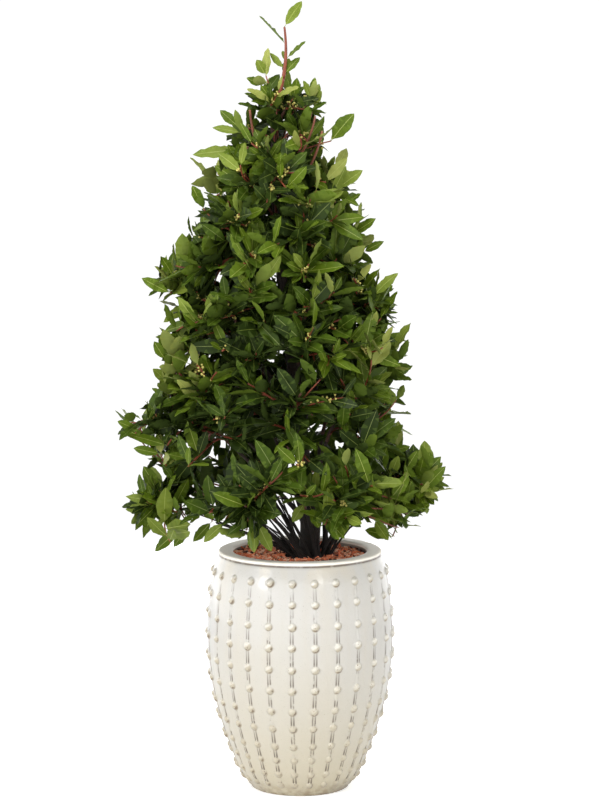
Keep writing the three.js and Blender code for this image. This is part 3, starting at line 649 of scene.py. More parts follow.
def add_leader_leaf(share, azimuth, rise, roll, length):
    """A leaf of the leader: its direction is an azimuth and a rise, and its face rolls away from the top."""
    flat = math.cos(math.radians(rise))
    way = polar(flat, math.radians(azimuth), math.sin(math.radians(rise)))
    side = unit(np.cross(way, [0, 0, 1.0]))
    up = unit(np.cross(side, way))
    turn = math.radians(roll)
    face = math.cos(turn) * up + math.sin(turn) * np.cross(way, up)
    add_leaf(leader.at(share), way, face, length, 0.38 * length, LEADER_SPRAY, 1.0)


def add_outer_leaf(number, foot, tip, width):
    """A single leaf from its foot to its tip, facing the front, on a shoot of its own from a limb nearby."""
    carrier = trunk if foot[2] > OUTER_FROM_TRUNK else nearest_limb(foot)
    shoot = grow_twig(carrier, foot, number, SHOOT_RADII)
    shoot.carrier = carrier
    way = unit(tip - foot)
    face = np.array([0.2 * (number % 3 - 1), -0.8, 0.5])
    face = unit(face - way * (face @ way))
    length = np.linalg.norm(tip - foot) - LEAF["stalk"]
    add_leaf(foot, way, face, length, width, LEADER_SPRAY + 1 + number, 1.0)
    return shoot


for row in LEADER_LEAVES:
    add_leader_leaf(*row)
outer_shoots = [add_outer_leaf(number, np.array(row[:3], float), np.array(row[3:6], float), row[6])
                for number, row in enumerate(OUTER_LEAVES)]


def carries_leaves(shoot):
    """Low in the plant only the shoots near the outline carry leaves."""
    return shoot.line[-1][2] > OPEN_BELOW or float(room_inside(shoot.line[-1])) < OPEN_DEPTH


def twig_leaves(twig):
    return SMALL_SPRAY if twig.line[-1][2] > SMALL_SPRAYS_ABOVE else LEAF["count"]


# Each spray has a number of its own, which its tint and its leaves' sizes are drawn from.
for i, twig in enumerate(twigs):
    add_spray(twig, 2000 + i, twig_leaves(twig))
for i, shoot in enumerate(shoots):
    if carries_leaves(shoot):
        add_spray(shoot, i, LEAF["count"])
for i, mass in enumerate(masses[:-1]):
    add_spray(mass["stem"], 3000 + i, LEAF["count"])
for i, shoot in enumerate(outer_shoots):
    add_spray(shoot, 4000 + i, 3)
leaves = np.array(leaf_rows)

# Shoots and twigs that neither leaves nor leafy shoots grow from are left out.
shoots = [shoot for shoot in shoots if id(shoot) in leafy] + outer_shoots
needed = leafy | {id(shoot.carrier) for shoot in shoots}
twigs = [twig for twig in twigs if id(twig) in needed]

# ---- meshes from arrays --------------------------------------------------------------------------


def make_piece(name, verts, quads, tris, materials, part=None, slot="leaves", smooth=True, values=()):
    """A mesh object from whole arrays: vertices in mm, quads and triangles, a material for each face."""
    quads = np.asarray(quads, np.int64).reshape(-1, 4)
    tris = np.asarray(tris, np.int64).reshape(-1, 3)
    mesh = bpy.data.meshes.new(name)
    mesh.vertices.add(len(verts))
    mesh.vertices.foreach_set("co", (np.asarray(verts) * MM).astype(np.float32).ravel())
    mesh.loops.add(quads.size + tris.size)
    mesh.loops.foreach_set("vertex_index", np.concatenate([quads.ravel(), tris.ravel()]).astype(np.int32))
    starts = np.concatenate([np.arange(len(quads)) * 4, quads.size + np.arange(len(tris)) * 3])
    mesh.polygons.add(len(starts))
    mesh.polygons.foreach_set("loop_start", starts.astype(np.int32))
    if part is not None:
        mesh.polygons.foreach_set("material_index", np.asarray(part, np.int32))
    mesh.polygons.foreach_set("use_smooth", np.full(len(starts), smooth))
    mesh.update(calc_edges=True)
    for label, numbers in values:
        mesh.attributes.new(label, "FLOAT", "POINT").data.foreach_set("value", numbers.astype(np.float32))
    for material in materials:
        mesh.materials.append(material)
    piece = bpy.data.objects.new(name, mesh)
    bpy.context.scene.collection.objects.link(piece)
    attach(piece, "root")
    return piece


def frames_along(lines):
    """Two normals at each point of many lines: the first pair is carried on along each line without twist."""
    ways = unit(np.gradient(lines, axis=1))
    first = np.where(np.abs(ways[:, 0, 2:3]) < 0.9, [0, 0, 1.0], [1.0, 0, 0])
    normal = unit(np.cross(first, ways[:, 0]))
    normals = np.empty_like(lines)
    for k in range(lines.shape[1]):
        normal = unit(normal - ways[:, k] * np.sum(normal * ways[:, k], axis=1, keepdims=True))
        normals[:, k] = normal
    return normals, np.cross(ways, normals)


def ring_faces(rings, sides):
    """The faces over rings of points: quads from ring to ring, and fans to the two points that come after all
    the rings, which close the first ring and the last one."""
    k, i = np.meshgrid(np.arange(rings - 1), np.arange(sides), indexing="ij")
    j = (i + 1) % sides
    quads = np.stack([k * sides + i, k * sides + j, (k + 1) * sides + j, (k + 1) * sides + i], axis=-1)
    i, j = np.arange(sides), (np.arange(sides) + 1) % sides
    after, last = rings * sides, (rings - 1) * sides
    foot = np.stack([np.full(sides, after), j, i], axis=-1)
    tip = np.stack([np.full(sides, after + 1), last + i, last + j], axis=-1)
    return quads.reshape(-1, 4), np.vstack([foot, tip])


def repeated(faces, count, own):
    """The faces of one body, repeated for many equal bodies, each of which has its own set of vertices."""
    shift = (np.arange(count) * own)[:, None, None]
    return (faces[None] + shift).reshape(-1, faces.shape[1])


def tubes(lines, radii, sides):
    """Closed round limbs along many lines: a ring at each point, and a fan to the middle of each end."""
    count, rings, _ = lines.shape
    normals, others = frames_along(lines)
    turn = np.arange(sides) * 2 * np.pi / sides
    around = normals[:, :, None] * np.cos(turn)[:, None] + others[:, :, None] * np.sin(turn)[:, None]
    verts = lines[:, :, None] + around * (radii[..., None] * np.ones(sides))[..., None]
    ends = np.stack([lines[:, 0], lines[:, -1]], axis=1)
    verts = np.concatenate([verts.reshape(count, -1, 3), ends], axis=1)
    quads, tris = (repeated(faces, count, verts.shape[1]) for faces in ring_faces(rings, sides))
    return verts.reshape(-1, 3), quads, tris


def limb_tubes(limbs, rings, sides):
    """Limbs as tubes, each with a straight taper from the radius of its foot to that of its tip."""
    shares = np.linspace(0, 1, rings)
    lines = np.stack([limb.at(shares) for limb in limbs])
    radii = np.array([lerp(limb.foot, limb.tip, shares) for limb in limbs])
    return tubes(lines, radii, sides)


def joined(parts):
    """Several meshes as one: each one's indices are shifted by the vertices before it."""
    verts, quads, tris, start = [], [], [], 0
    for v, q, t in parts:
        verts.append(v)
        quads.append(np.asarray(q, np.int64).reshape(-1, 4) + start)
        tris.append(np.asarray(t, np.int64).reshape(-1, 3) + start)
        start += len(v)
    return np.vstack(verts), np.vstack(quads), np.vstack(tris)


# ---- materials -----------------------------------------------------------------------------------


def tone(red, green, blue):
    """A colour as the eye reads it, 0 to 255, turned into the linear values that a shader takes."""
    value = np.array([red, green, blue]) / 255
    linear = np.where(value <= 0.04045, value / 12.92, ((value + 0.055) / 1.055) ** 2.4)
    return (*linear.tolist(), 1.0)


class Nodes:
    """A short way to build a node tree: add a node with its settings, and give its inputs values or links."""

    def __init__(self, tree):
        self.tree = tree
        tree.nodes.clear()

    def add(self, kind, inputs=(), **settings):
        node = self.tree.nodes.new(kind)
        for key, value in settings.items():
            setattr(node, key, value)
        for key, value in dict(inputs).items():
            if isinstance(value, bpy.types.NodeSocket):
                self.tree.links.new(value, node.inputs[key])
            else:
                node.inputs[key].default_value = value
        return node

    def math(self, operation, a, b=0.0, c=0.0):
        node = self.add("ShaderNodeMath", {0: a, 1: b, 2: c}, operation=operation)
        return node.outputs[0]

    def times(self, a, b):
        return self.math("MULTIPLY", a, b)

    def scale(self, value, from_low, from_high, to_low=0.0, to_high=1.0):
        inputs = {0: value, 1: from_low, 2: from_high, 3: to_low, 4: to_high}
        return self.add("ShaderNodeMapRange", inputs).outputs[0]

    def blend(self, share, a, b, mode="MIX"):
        node = self.add("ShaderNodeMix", data_type="RGBA", blend_type=mode)
        for key, value in ((0, share), (6, a), (7, b)):
            if isinstance(value, bpy.types.NodeSocket):
                self.tree.links.new(value, node.inputs[key])
            else:
                node.inputs[key].default_value = value
        return node.outputs[2]

    def noise(self, scale, detail=2.0, vector=None, rough=0.5):
        inputs = {"Scale": scale, "Detail": detail, "Roughness": rough}
        if vector is not None:
            inputs["Vector"] = vector
        return self.add("ShaderNodeTexNoise", inputs).outputs[0]

    def place(self):
        return self.add("ShaderNodeTexCoord").outputs["Object"]

    def read(self, label):
        """A value that the mesh holds at its vertices."""
        return self.add("ShaderNodeAttribute", attribute_name=label).outputs["Fac"]


def group(name, inputs, outputs, build):
    """A shared effect: a node group with named inputs and outputs, filled in by build."""
    tree = bpy.data.node_groups.new(name, "ShaderNodeTree")
    for label, kind, value in inputs:
        made = tree.interface.new_socket(label, in_out="INPUT", socket_type=kind)
        made.default_value = value
    for label, kind in outputs:
        tree.interface.new_socket(label, in_out="OUTPUT", socket_type=kind)
    nodes = Nodes(tree)
    source = nodes.add("NodeGroupInput")
    sink = nodes.add("NodeGroupOutput")
    build(nodes, source.outputs, lambda label, out: tree.links.new(out, sink.inputs[label]))
    return tree


def build_tones(nodes, given, give):
    """Two noises, one broad and one fine, move a colour between a darker and a lighter share of itself."""
    place = nodes.place()
    broad = nodes.noise(given["Scale"], 2.0, place)
    fine = nodes.noise(nodes.times(given["Scale"], 6.0), 3.0, place)
    both = nodes.math("ADD", nodes.times(broad, 0.6), nodes.times(fine, 0.4))
    share = nodes.scale(both, 0.32, 0.68)
    give("Color", nodes.blend(share, given["Dark"], given["Light"]))
    give("Share", share)


def build_grain(nodes, given, give):
    """A bump whose height is a fine noise, of a size and a depth that are given."""
    height = nodes.noise(given["Scale"], 4.0, nodes.place(), 0.6)
    inputs = {"Strength": given["Strength"], "Distance": given["Depth"], "Height": height}
    give("Normal", nodes.add("ShaderNodeBump", inputs).outputs[0])
    give("Height", height)


TONES = group(
    "tones",
    [("Dark", "NodeSocketColor", (0, 0, 0, 1)), ("Light", "NodeSocketColor", (1, 1, 1, 1)),
     ("Scale", "NodeSocketFloat", 10.0)],
    [("Color", "NodeSocketColor"), ("Share", "NodeSocketFloat")],
    build_tones,
)
GRAIN = group(
    "grain",
    [("Scale", "NodeSocketFloat", 100.0), ("Strength", "NodeSocketFloat", 0.5),
     ("Depth", "NodeSocketFloat", 0.001)],
    [("Normal", "NodeSocketVector"), ("Height", "NodeSocketFloat")],
    build_grain,
)


def material(name, dark, light, tone_scale, grain_scale, depth, rough, strength=0.6, **sockets):
    """A finish whose colour drifts between two tones and whose surface has a fine grain."""
    made = bpy.data.materials.new(name)
    made.use_nodes = True
    nodes = Nodes(made.node_tree)
    tones = nodes.add("ShaderNodeGroup", node_tree=TONES)
    tones.inputs["Dark"].default_value = tone(*dark)
    tones.inputs["Light"].default_value = tone(*light)
    tones.inputs["Scale"].default_value = tone_scale
    grain = nodes.add("ShaderNodeGroup", node_tree=GRAIN)
    grain.inputs["Scale"].default_value = grain_scale
    grain.inputs["Strength"].default_value = strength
    grain.inputs["Depth"].default_value = depth
    inputs = {
        "Base Color": tones.outputs["Color"],
        "Roughness": nodes.scale(tones.outputs["Share"], 0, 1, rough - 0.06, rough + 0.06),
        "Normal": grain.outputs["Normal"],
    }
    shader = nodes.add("ShaderNodeBsdfPrincipled", inputs)
    for key, value in sockets.items():
        shader.inputs[key.replace("_", " ")].default_value = value
    nodes.add("ShaderNodeOutputMaterial", {"Surface": shader.outputs[0]})
    return made


TINTS = {  # darker and lighter tone of the upper face
    "deep": ((25, 37, 8), (38, 52, 12)),
    "green": ((40, 56, 9), (58, 76, 13)),
    "mid": ((59, 77, 13), (81, 99, 20)),
    "fresh": ((85, 100, 30), (108, 121, 46)),
    "young": ((108, 116, 50), (132, 137, 70)),
}
RIB_LIGHT_FROM = 2  # the first of the tints whose leaves have a light rib
PALE = (118, 134, 77)  # the tone that the under faces lean towards
leaf_materials = []
for tint, (dark, light) in TINTS.items():
    leaf_materials.append(material(f"leaf_{tint}", dark, light, 14, 420, 0.0006, 0.48, strength=0.35,
                                   Specular_IOR_Level=0.1))
    paler = [tuple(int(lerp(c, p, 0.3)) for c, p in zip(shade, PALE)) for shade in (dark, light)]
    leaf_materials.append(material(f"leaf_{tint}_under", *paler, 14, 420, 0.0004, 0.62, strength=0.3,
                                   Specular_IOR_Level=0.06))
RIBS = {
    "rib_of_deep_leaf": ((80, 94, 30), (106, 118, 48)),
    "rib_of_light_leaf": ((110, 122, 44), (142, 150, 68)),
}
for name, (dark, light) in RIBS.items():
    leaf_materials.append(material(name, dark, light, 60, 500, 0.0002, 0.5, strength=0.2))
bud_material = material("bud_green", (158, 151, 68), (190, 178, 99), 90, 600, 0.0002, 0.5, strength=0.3)
stalk_material = material("stalk_red", (112, 61, 40), (138, 96, 57), 50, 500, 0.0002, 0.6, strength=0.3)
bark_material = material("bark", (28, 22, 18), (57, 44, 34), 30, 160, 0.003, 0.85, strength=0.9)
# the bark at the plant's foot: painted shade, nearly black
base_shade_material = material("base_bark_painted_shade", (18, 15, 13), (35, 27, 22), 30, 200, 0.002, 0.9, strength=0.9)
stem_material = material("stem_bark", (46, 28, 20), (85, 50, 33), 40, 260, 0.001, 0.7)
shoot_material = material("shoot_bark", (92, 36, 17), (132, 60, 32), 40, 320, 0.0006, 0.55, strength=0.4)
stub_material = material("stub_bark", (83, 42, 27), (121, 67, 42), 40, 300, 0.0008, 0.65, strength=0.5)
cut_material = material("cut_wood", (162, 136, 99), (190, 166, 127), 120, 500, 0.0004, 0.8)
soil_material = material("potting_soil", (16, 12, 10), (40, 30, 24), 60, 240, 0.004, 0.95, strength=1.0)
chip_materials = [
    material("chip_rust", (228, 112, 70), (250, 160, 116), 120, 360, 0.001, 0.9, strength=0.8),
    material("chip_tan", (236, 170, 134), (252, 210, 178), 120, 360, 0.001, 0.9, strength=0.8),
    material("chip_brown", (172, 90, 62), (212, 126, 92), 120, 360, 0.001, 0.92, strength=0.8),
    material("chip_dark", (60, 32, 24), (100, 56, 42), 120, 360, 0.001, 0.95, strength=0.8),
]

# ---- leaves as meshes ----------------------------------------------------------------------------

BLADE_RINGS = 11
RING_SIDE = np.array([-1, 0, 0, 1, 0.0])  # the share of the half width at each of a ring's five points
RING_RIB = np.array([0, -1, 1, 0, 0.0])  # and the share of the rib's half width
RING_RISE = np.array([0, 0.15, 0.15, 0, -0.8])  # and how high it lies, in mm
UPPER, UNDER, RIB = 0, 1, 2  # the parts of a leaf, each with a material of its own
# Between rings, each face runs along two of the points of a ring, and is of one part.
RING_FACES = [(0, 1, UPPER), (1, 2, RIB), (2, 3, UPPER), (3, 4, UNDER), (4, 0, UNDER)]
BLADE = {  # droop, bend and ripple are shares of the length, lift and crisp of the half width
    "fullness": 0.85,
    "droop": (-0.04, 0.2),
    "bend": 0.14,
    "lift": (0.0, 0.34),
    "waves": (2.2, 3.6),
    "ripple": (0.015, 0.05),
    "twist": 0.6,
    "crisp": (0.3, 1.5),
}
STALK = {"across": 0.9, "under": 1.1, "length": 9}


def leaf_points(rows):
    """The points of blades, each a closed thin surface. Along the blade s the half width is (4s(1-s))^0.85,
    a little fuller near the base. The middle line droops with s squared and bends sideways, the sides lift
    with the distance from the rib, and the margin waves and is crisped from ring to ring. The points after
    the rings are the blade's base and tip and the four of its stalk."""
    root, way, face = rows[:, 0:3], rows[:, 3:6], rows[:, 6:9]
    length, width = rows[:, 9, None], rows[:, 10, None]
    side = np.cross(face, way)
    seed = rows[:, 0] + 3.1 * rows[:, 2]
    pick = lambda n: chance(seed, n)[:, None]
    ring = np.arange(1, BLADE_RINGS)
    s = (ring + 0.5 * (chance(seed[:, None], ring + 60) - 0.5)) / BLADE_RINGS
    form = (4 * s * (1 - s)) ** BLADE["fullness"] * (1 + 0.12 * (0.5 - s))
    droop = lerp(*BLADE["droop"], pick(1))
    bend = BLADE["bend"] * (pick(2) - 0.5)
    lift = lerp(*BLADE["lift"], pick(3))
    waves = lerp(*BLADE["waves"], pick(4))
    phase = FULL_TURN * pick(5)
    ripple = lerp(*BLADE["ripple"], pick(6)) * length
    twist = BLADE["twist"] * (pick(7) - 0.5)
    crisp = np.where(ring % 2, 1.0, -1.0) * lerp(*BLADE["crisp"], chance(seed[:, None], ring + 80))

    half = 0.5 * width * form * (1 + 0.05 * np.sin(17 * s + phase) + 0.035 * crisp)
    rib = np.minimum(lerp(0.85, 0.36, s) * np.clip(width / 32, 0.6, 1.2), 0.45 * half)
    across = half[..., None] * RING_SIDE + rib[..., None] * RING_RIB
    wave = np.sin(2 * np.pi * waves * s + phase)[..., None] * RING_SIDE
    wave = wave + crisp[..., None] * np.abs(RING_SIDE) * 0.35
    rise = (half * lift)[..., None] * np.abs(RING_SIDE) + 0.5 * ripple[..., None] * wave + RING_RISE
    rise = rise + across * (twist * s)[..., None] - (length * droop * s**2)[..., None]
    over = across + (length * bend * s**2)[..., None]
    start = LEAF["stalk"]
    along = (start + length * s)[..., None] * np.ones(len(RING_SIDE))
    rings = root[:, None, None] + way[:, None, None] * along[..., None]
    rings = rings + side[:, None, None] * over[..., None] + face[:, None, None] * rise[..., None]
    base = root + way * start
    tip = root + way * (start + length) + side * length * bend - face * length * droop
    around = np.stack([side * STALK["across"], -side * STALK["across"], -face * STALK["under"]], axis=1)
    stalk_tip = base + way * STALK["length"]
    return np.concatenate([rings.reshape(len(rows), -1, 3), base[:, None], tip[:, None],
                           root[:, None] + around, stalk_tip[:, None]], axis=1)


def leaf_faces():
    """The quads and triangles of one leaf, and the part that each of them is of."""
    points, ring_count = len(RING_SIDE), BLADE_RINGS - 1
    at_base = ring_count * points
    at_tip, stalk, stalk_tip = at_base + 1, at_base + 2, at_base + 5
    k = np.arange(ring_count - 1) * points
    last = (ring_count - 1) * points
    quads, quad_part, tris, tri_part = [], [], [], []
    for a, b, part in RING_FACES:
        quads.append(np.stack([k + a, k + points + a, k + points + b, k + b], axis=-1))
        quad_part.append(np.full(len(k), part))
        tris += [[at_base, a, b], [last + a, at_tip, last + b]]
        tri_part += [part, part]
    for i in range(3):
        tris.append([stalk + i, stalk + (i + 1) % 3, stalk_tip])
        tri_part.append(RIB)
    tris.append([stalk + 2, stalk + 1, stalk])
    tri_part.append(RIB)
    return np.vstack(quads), np.array(tris), np.concatenate(quad_part), np.array(tri_part)


def margin_edges_sharp(piece, own):
    """The margin is where a blade's upper and under face meet, so it is shaded as a sharp edge. The points
    of a ring at the margin are the first and the fourth."""
    mesh = piece.data
    points, inner = len(RING_SIDE), len(RING_SIDE) * (BLADE_RINGS - 1)
    ends = np.empty(len(mesh.edges) * 2, np.int32)
    mesh.edges.foreach_get("vertices", ends)
    spot = ends.reshape(-1, 2) % own
    at_end = (spot == inner) | (spot == inner + 1)
    margin = (np.isin(spot % points, (0, 3)) & (spot < inner)) | at_end
    same_side = (spot % points)[:, 0] == (spot % points)[:, 1]
    sharp = margin.all(axis=1) & (same_side | at_end.any(axis=1))
    mesh.attributes.new("sharp_edge", "BOOLEAN", "EDGE").data.foreach_set("value", sharp)


TINT_SHARES = [0.16, 0.5, 0.84, 0.97]  # up to which share of the sprays each tint goes, from the deepest on
INNER, INMOST = 85, 125  # the depths under the outline past which leaves are a step and three steps deeper, as painted shade


def tint_of(rows):
    """The tint of each leaf: dealt out by spray, and a step lighter for some at a spray's tip, at the top,
    and, as painted light, at the left and the right, where the sides are lit. The youngest tint stays near
    the outline, and leaves further in are deeper, as painted shade. The leader's and the outer leaves are
    mid or fresh."""
    spray, rank, z = rows[:, 11], rows[:, 12], rows[:, 2]
    level = np.searchsorted(TINT_SHARES, chance(spray, 21), side="right")
    level = level + (rank > 0.8) * (chance(spray, 22) < 0.4) + (z > 1500) * (chance(spray, 23) < 0.35)
    angle = np.arctan2(rows[:, 1], rows[:, 0] - lean_at(z))
    # painted light: most leaves at the left and the right are a step lighter
    level = level + (np.abs(np.cos(angle)) > 0.8) * (chance(spray, 24) < 0.85)
    level = level + (np.cos(angle + 0.5) > 0.75) * (chance(spray, 25) < 0.3)
    depth = room_inside(rows[:, 0:3])
    youngest = (level > 3) * (depth < INNER)
    # painted shade: a step deeper past INNER and two steps more past INMOST
    level = np.minimum(level, 3) - (depth > INNER) - 2 * (depth > INMOST) + youngest
    level = np.where(spray >= LEADER_SPRAY, 2 + (chance(spray, z) < 0.4), level)
    return np.clip(level, 0, 4).astype(int)


tints = tint_of(leaves)
tier_of_leaf = np.array([masses[mass_of(row[:3])]["tier"]["name"] for row in leaves])
LEAF_PIECES = [
    ("leaves_skirt", ("skirt",)),
    ("leaves_low", ("low",)),
    ("leaves_middle", ("middle",)),
    ("leaves_upper", ("upper",)),
    ("leaves_top", ("top", "spire", "leader")),
]
one_quads, one_tris, quad_part, tri_part = leaf_faces()
for name, tiers in LEAF_PIECES:
    chosen = np.isin(tier_of_leaf, tiers)
    points, tint = leaf_points(leaves[chosen]), tints[chosen]
    count, own = points.shape[:2]
    numbers = np.stack([tint * 2, tint * 2 + 1, len(TINTS) * 2 + (tint >= RIB_LIGHT_FROM)], axis=1)
    part = np.concatenate([numbers[:, quad_part].ravel(), numbers[:, tri_part].ravel()])
    quads, tris = repeated(one_quads, count, own), repeated(one_tris, count, own)
    piece = make_piece(name, points.reshape(-1, 3), quads, tris, leaf_materials, part)
    margin_edges_sharp(piece, own)
    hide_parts(*[f"foliage_{m['name']}" for m in masses if m["tier"]["name"] in tiers])

# ---- bark, stems, twigs and shoots ---------------------------------------------------------------

BARK_RINGS, BARK_SIDES = 150, 22
BOUGH_RINGS, BOUGH_SIDES = 40, 12
DARK_BELOW = 720  # the height under which the bark is painted nearly black, as painted shade
YOUNG_ABOVE = 1640  # the height over which the trunk's bark is young and red


def bark_tube(limb, radii, rings, sides, level_foot=False):
    """A limb with the bark's relief: its radius is the taper plus long shallow ridges and small knots."""
    lines = limb.at(np.linspace(0, 1, rings))[None]
    verts, quads, tris = tubes(lines, radii[None], sides)
    body = verts[: rings * sides].reshape(rings, sides, 3)
    away = unit(body - lines[0][:, None])
    stretched = body * np.array([1, 1, 0.3])
    relief = 0.07 * noise(stretched, 9, 3) + 0.035 * noise(stretched, 4, 5) + 0.06 * noise(body, 38, 7)
    body = body + away * (radii[:, None] * relief)[..., None]
    if level_foot:
        body[0, :, 2] = limb.line[0][2]
    verts[: rings * sides] = body.reshape(-1, 3)
    return verts, quads, tris


shares = np.linspace(0, 1, BARK_RINGS)
trunk_radii = smooth_at(TRUNK_RADII, shares * (len(TRUNK_RADII) - 1))


def bough_bark(bough):
    """A bough's bark. Its radius is a straight taper plus a flare that dies away from the foot."""
    gone = np.linspace(0, bough.length, BOUGH_RINGS)
    taper = lerp(BOUGH_BARK["foot"], BOUGH_RADII[1], gone / gone[-1])
    radii = taper + BOUGH_BARK["flare"] * np.exp(-gone / BOUGH_BARK["flare_length"])
    return bark_tube(bough, radii, BOUGH_RINGS, BOUGH_SIDES)


bark_parts = [bark_tube(trunk, trunk_radii, BARK_RINGS, BARK_SIDES, True)]
bark_parts += [bough_bark(mass["bough"]) for mass in masses if "bough" in mass]
bark_verts, bark_quads, bark_tris = joined(bark_parts)
bark_heights = [bark_verts[faces].mean(axis=1)[:, 2] for faces in (bark_quads, bark_tris)]
bark_heights = np.concatenate(bark_heights)
bark_zone = np.where(bark_heights < DARK_BELOW, 1, np.where(bark_heights > YOUNG_ABOVE, 2, 0))
bark = make_piece("trunk_and_boughs", bark_verts, bark_quads, bark_tris,
                  [bark_material, base_shade_material, shoot_material], bark_zone, slot="bark")
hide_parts("trunk", *[f"bough_{m['name']}" for m in masses if "bough" in m])

stems = [mass["stem"] for mass in masses[:-1]]
make_piece("stems", *limb_tubes(stems, 20, 7), [stem_material], slot="bark")
# the thin stems at the foot take the same painted shade, nearly black
make_piece("base_stems", *limb_tubes(base_stems, 24, 7), [base_shade_material], slot="bark")
twig_parts = [limb_tubes([leader], 20, 8), limb_tubes(twigs, 12, 6), limb_tubes(shoots, 10, 5)]
make_piece("twigs", *joined(twig_parts), [shoot_material], slot="bark")

STUB_SIDES = 8
stub_verts, stub_quads, stub_tris = limb_tubes(clipped_stems, 14, STUB_SIDES)
stub_part = np.zeros(len(stub_quads) + len(stub_tris))
stub_part[len(stub_quads):] = np.arange(len(stub_tris)) % (2 * STUB_SIDES) >= STUB_SIDES  # the cut at the tip
make_piece("clipped_stems", stub_verts, stub_quads, stub_tris, [stub_material, cut_material], stub_part,
           slot="bark")

# ---- buds in the axils of leaves -----------------------------------------------------------------

BUD_REACH, BUD_RADIUS, BUD_ROWS, BUD_COLUMNS = (6, 17), (2.4, 3.3), 5, 8
BUD_CHANCE = {"low": 0.15, "high": 0.7, "from": 700, "to": 1350}
BUD_DEPTH = 130  # no buds further under the outline than this
rng = np.random.default_rng(17)
axils = leaves[(leaves[:, 12] < 0.95) & (leaves[:, 11] < LEADER_SPRAY)]
up_share = np.clip((axils[:, 2] - BUD_CHANCE["from"]) / (BUD_CHANCE["to"] - BUD_CHANCE["from"]), 0, 1)
likely = lerp(BUD_CHANCE["low"], BUD_CHANCE["high"], up_share)
outer = room_inside(axils[:, :3]) < BUD_DEPTH
chosen = axils[(chance(axils[:, 11], 31) < likely) & outer & (chance(axils[:, 0], 5) < 0.6)]
bud_count = 2 + np.floor(chance(chosen[:, 0], 8) * 4).astype(int)
bud_root = np.repeat(chosen[:, :3], bud_count, axis=0)
bud_way = np.repeat(unit(chosen[:, 3:6] + chosen[:, 6:9]), bud_count, axis=0)
bud_way = unit(bud_way + rng.normal(0, 0.45, bud_way.shape))
bud_reach = rng.uniform(*BUD_REACH, len(bud_way))
bud_size = rng.uniform(*BUD_RADIUS, len(bud_way))


def spheres(centres, radii, rows, columns):
    """Round bodies: x and y are sin(down) cos and sin of the turn, z is cos(down), closed at both poles."""
    down = np.arange(1, rows) * np.pi / rows
    turn = np.arange(columns) * 2 * np.pi / columns
    ball = polar(np.sin(down)[:, None], turn[None], np.cos(down)[:, None]).reshape(-1, 3)
    ball = np.vstack([ball, [0, 0, 1], [0, 0, -1]])
    verts = centres[:, None] + ball[None] * radii[:, None, None]
    faces = ring_faces(rows - 1, columns)
    quads, tris = (repeated(part[:, ::-1], len(centres), len(ball)) for part in faces)
    return verts.reshape(-1, 3), np.roll(quads, 1, axis=1), np.roll(tris, 1, axis=1)


bud_at = bud_root + bud_way * bud_reach[:, None]
make_piece("buds", *spheres(bud_at, bud_size, BUD_ROWS, BUD_COLUMNS), [bud_material])
stalk_lines = np.stack([lerp(bud_root, bud_at, t) for t in (0, 0.5, 1)], axis=1)
make_piece("bud_stalks", *tubes(stalk_lines, np.full(stalk_lines.shape[:2], 0.8), 4), [stalk_material])

# ---- the pot -------------------------------------------------------------------------------------


def pot_radius(z):
    return smooth_at(POT["radii"], np.asarray(z, float) / POT["step"])


def inner_radius(z):
    """Inside the wall the pot is as wide as outside less the wall, and it narrows to the lip at the top."""
    down = POT["height"] - np.asarray(z, float)
    under_lip = POT["radii"][-1] - POT["rim_width"] + POT["lip_slope"] * down
    return np.minimum(pot_radius(z) - POT["wall"], under_lip)


RIM = [  # radius and height: over the crease, the roll of the rim, its flat and its inner edge
    (202.6, 590), (202.0, 591.6), (203.0, 593.2), (203.2, 595.6), (202.2, 598.0), (199.6, 599.6),
    (195, 600), (185, 600), (176, 599.8), (170.5, 599.0), (167.2, 597.2), (166.0, 594.4), (167.4, 590),
]
FOOT = [(60, 0), (112, 0), (118, 0.4), (121.6, 2.2), (123.2, 5), (124.6, 8)]  # from the underside out
INSIDE_HEIGHTS = (580, 560, 520, 450, 350, 250, 150, 70)
WIDEST = max(POT["radii"])
STUD_STEPS = np.array([0, 2.4, 4.7, 6.8, 8.4, 9.7, 11.4, 15])  # rings above and below a stud's middle
COLUMN_STEPS = np.array([0, 1.6, 3.2, 5, 6.9, 8.5, 9.8, 12, 18])  # points left and right of it
BETWEEN_COLUMNS = 29.0  # and one more point half way to the next column
STUD_CHANGE = {"place": 1.6, "size": 0.1, "rise": 0.12}  # how much one stud differs from the next
# A stud's size has a share that is the same all over, and one that follows the pot's radius.
STUD_SIZE = {"least": 0.45, "more": 0.55}
RIB_RELIEF = {"rise": 1.15, "width": 2.3, "groove": 0.4, "groove_at": 4.2, "groove_width": 1.2}
CREASE = {"height": 589.8, "width": 2.2, "outside": 190}  # the line under the rim
WALL_WAVE = {"depth": 1.1, "length": 120}
FAR = 9.0  # the distance from a stud that points off the outside are given


def relief_heights():
    """The heights of the rings outside: close together over each stud, and at the foot and under the rim."""
    heights = [8 + 4 * i for i in range(5)]
    for z in STUD["heights"]:
        heights += list(z - STUD_STEPS) + list(z + STUD_STEPS)
    heights += list(np.arange(570, 590, 4))
    heights = np.unique(np.round(np.array(heights, float), 1))
    heights = heights[(heights > 9) & (heights < 589)]
    return heights[np.concatenate([[True], np.diff(heights) > 1.1])]


def pot_profile():
    """The radius and height of each ring, from the underside up the outside, over the rim and down inside,
    and which of the rings have the relief."""
    heights = relief_heights()
    profile = np.vstack([
        FOOT,
        np.stack([pot_radius(heights), heights], 1),
        RIM,
        [(float(inner_radius(z)), z) for z in INSIDE_HEIGHTS],
        [(POT["floor_radius"] + 6, POT["floor"] + 8), (POT["floor_radius"] - 6, POT["floor"])],
    ])
    outside = np.zeros(len(profile), bool)
    outside[len(FOOT) : len(FOOT) + len(heights)] = True
    return profile, outside


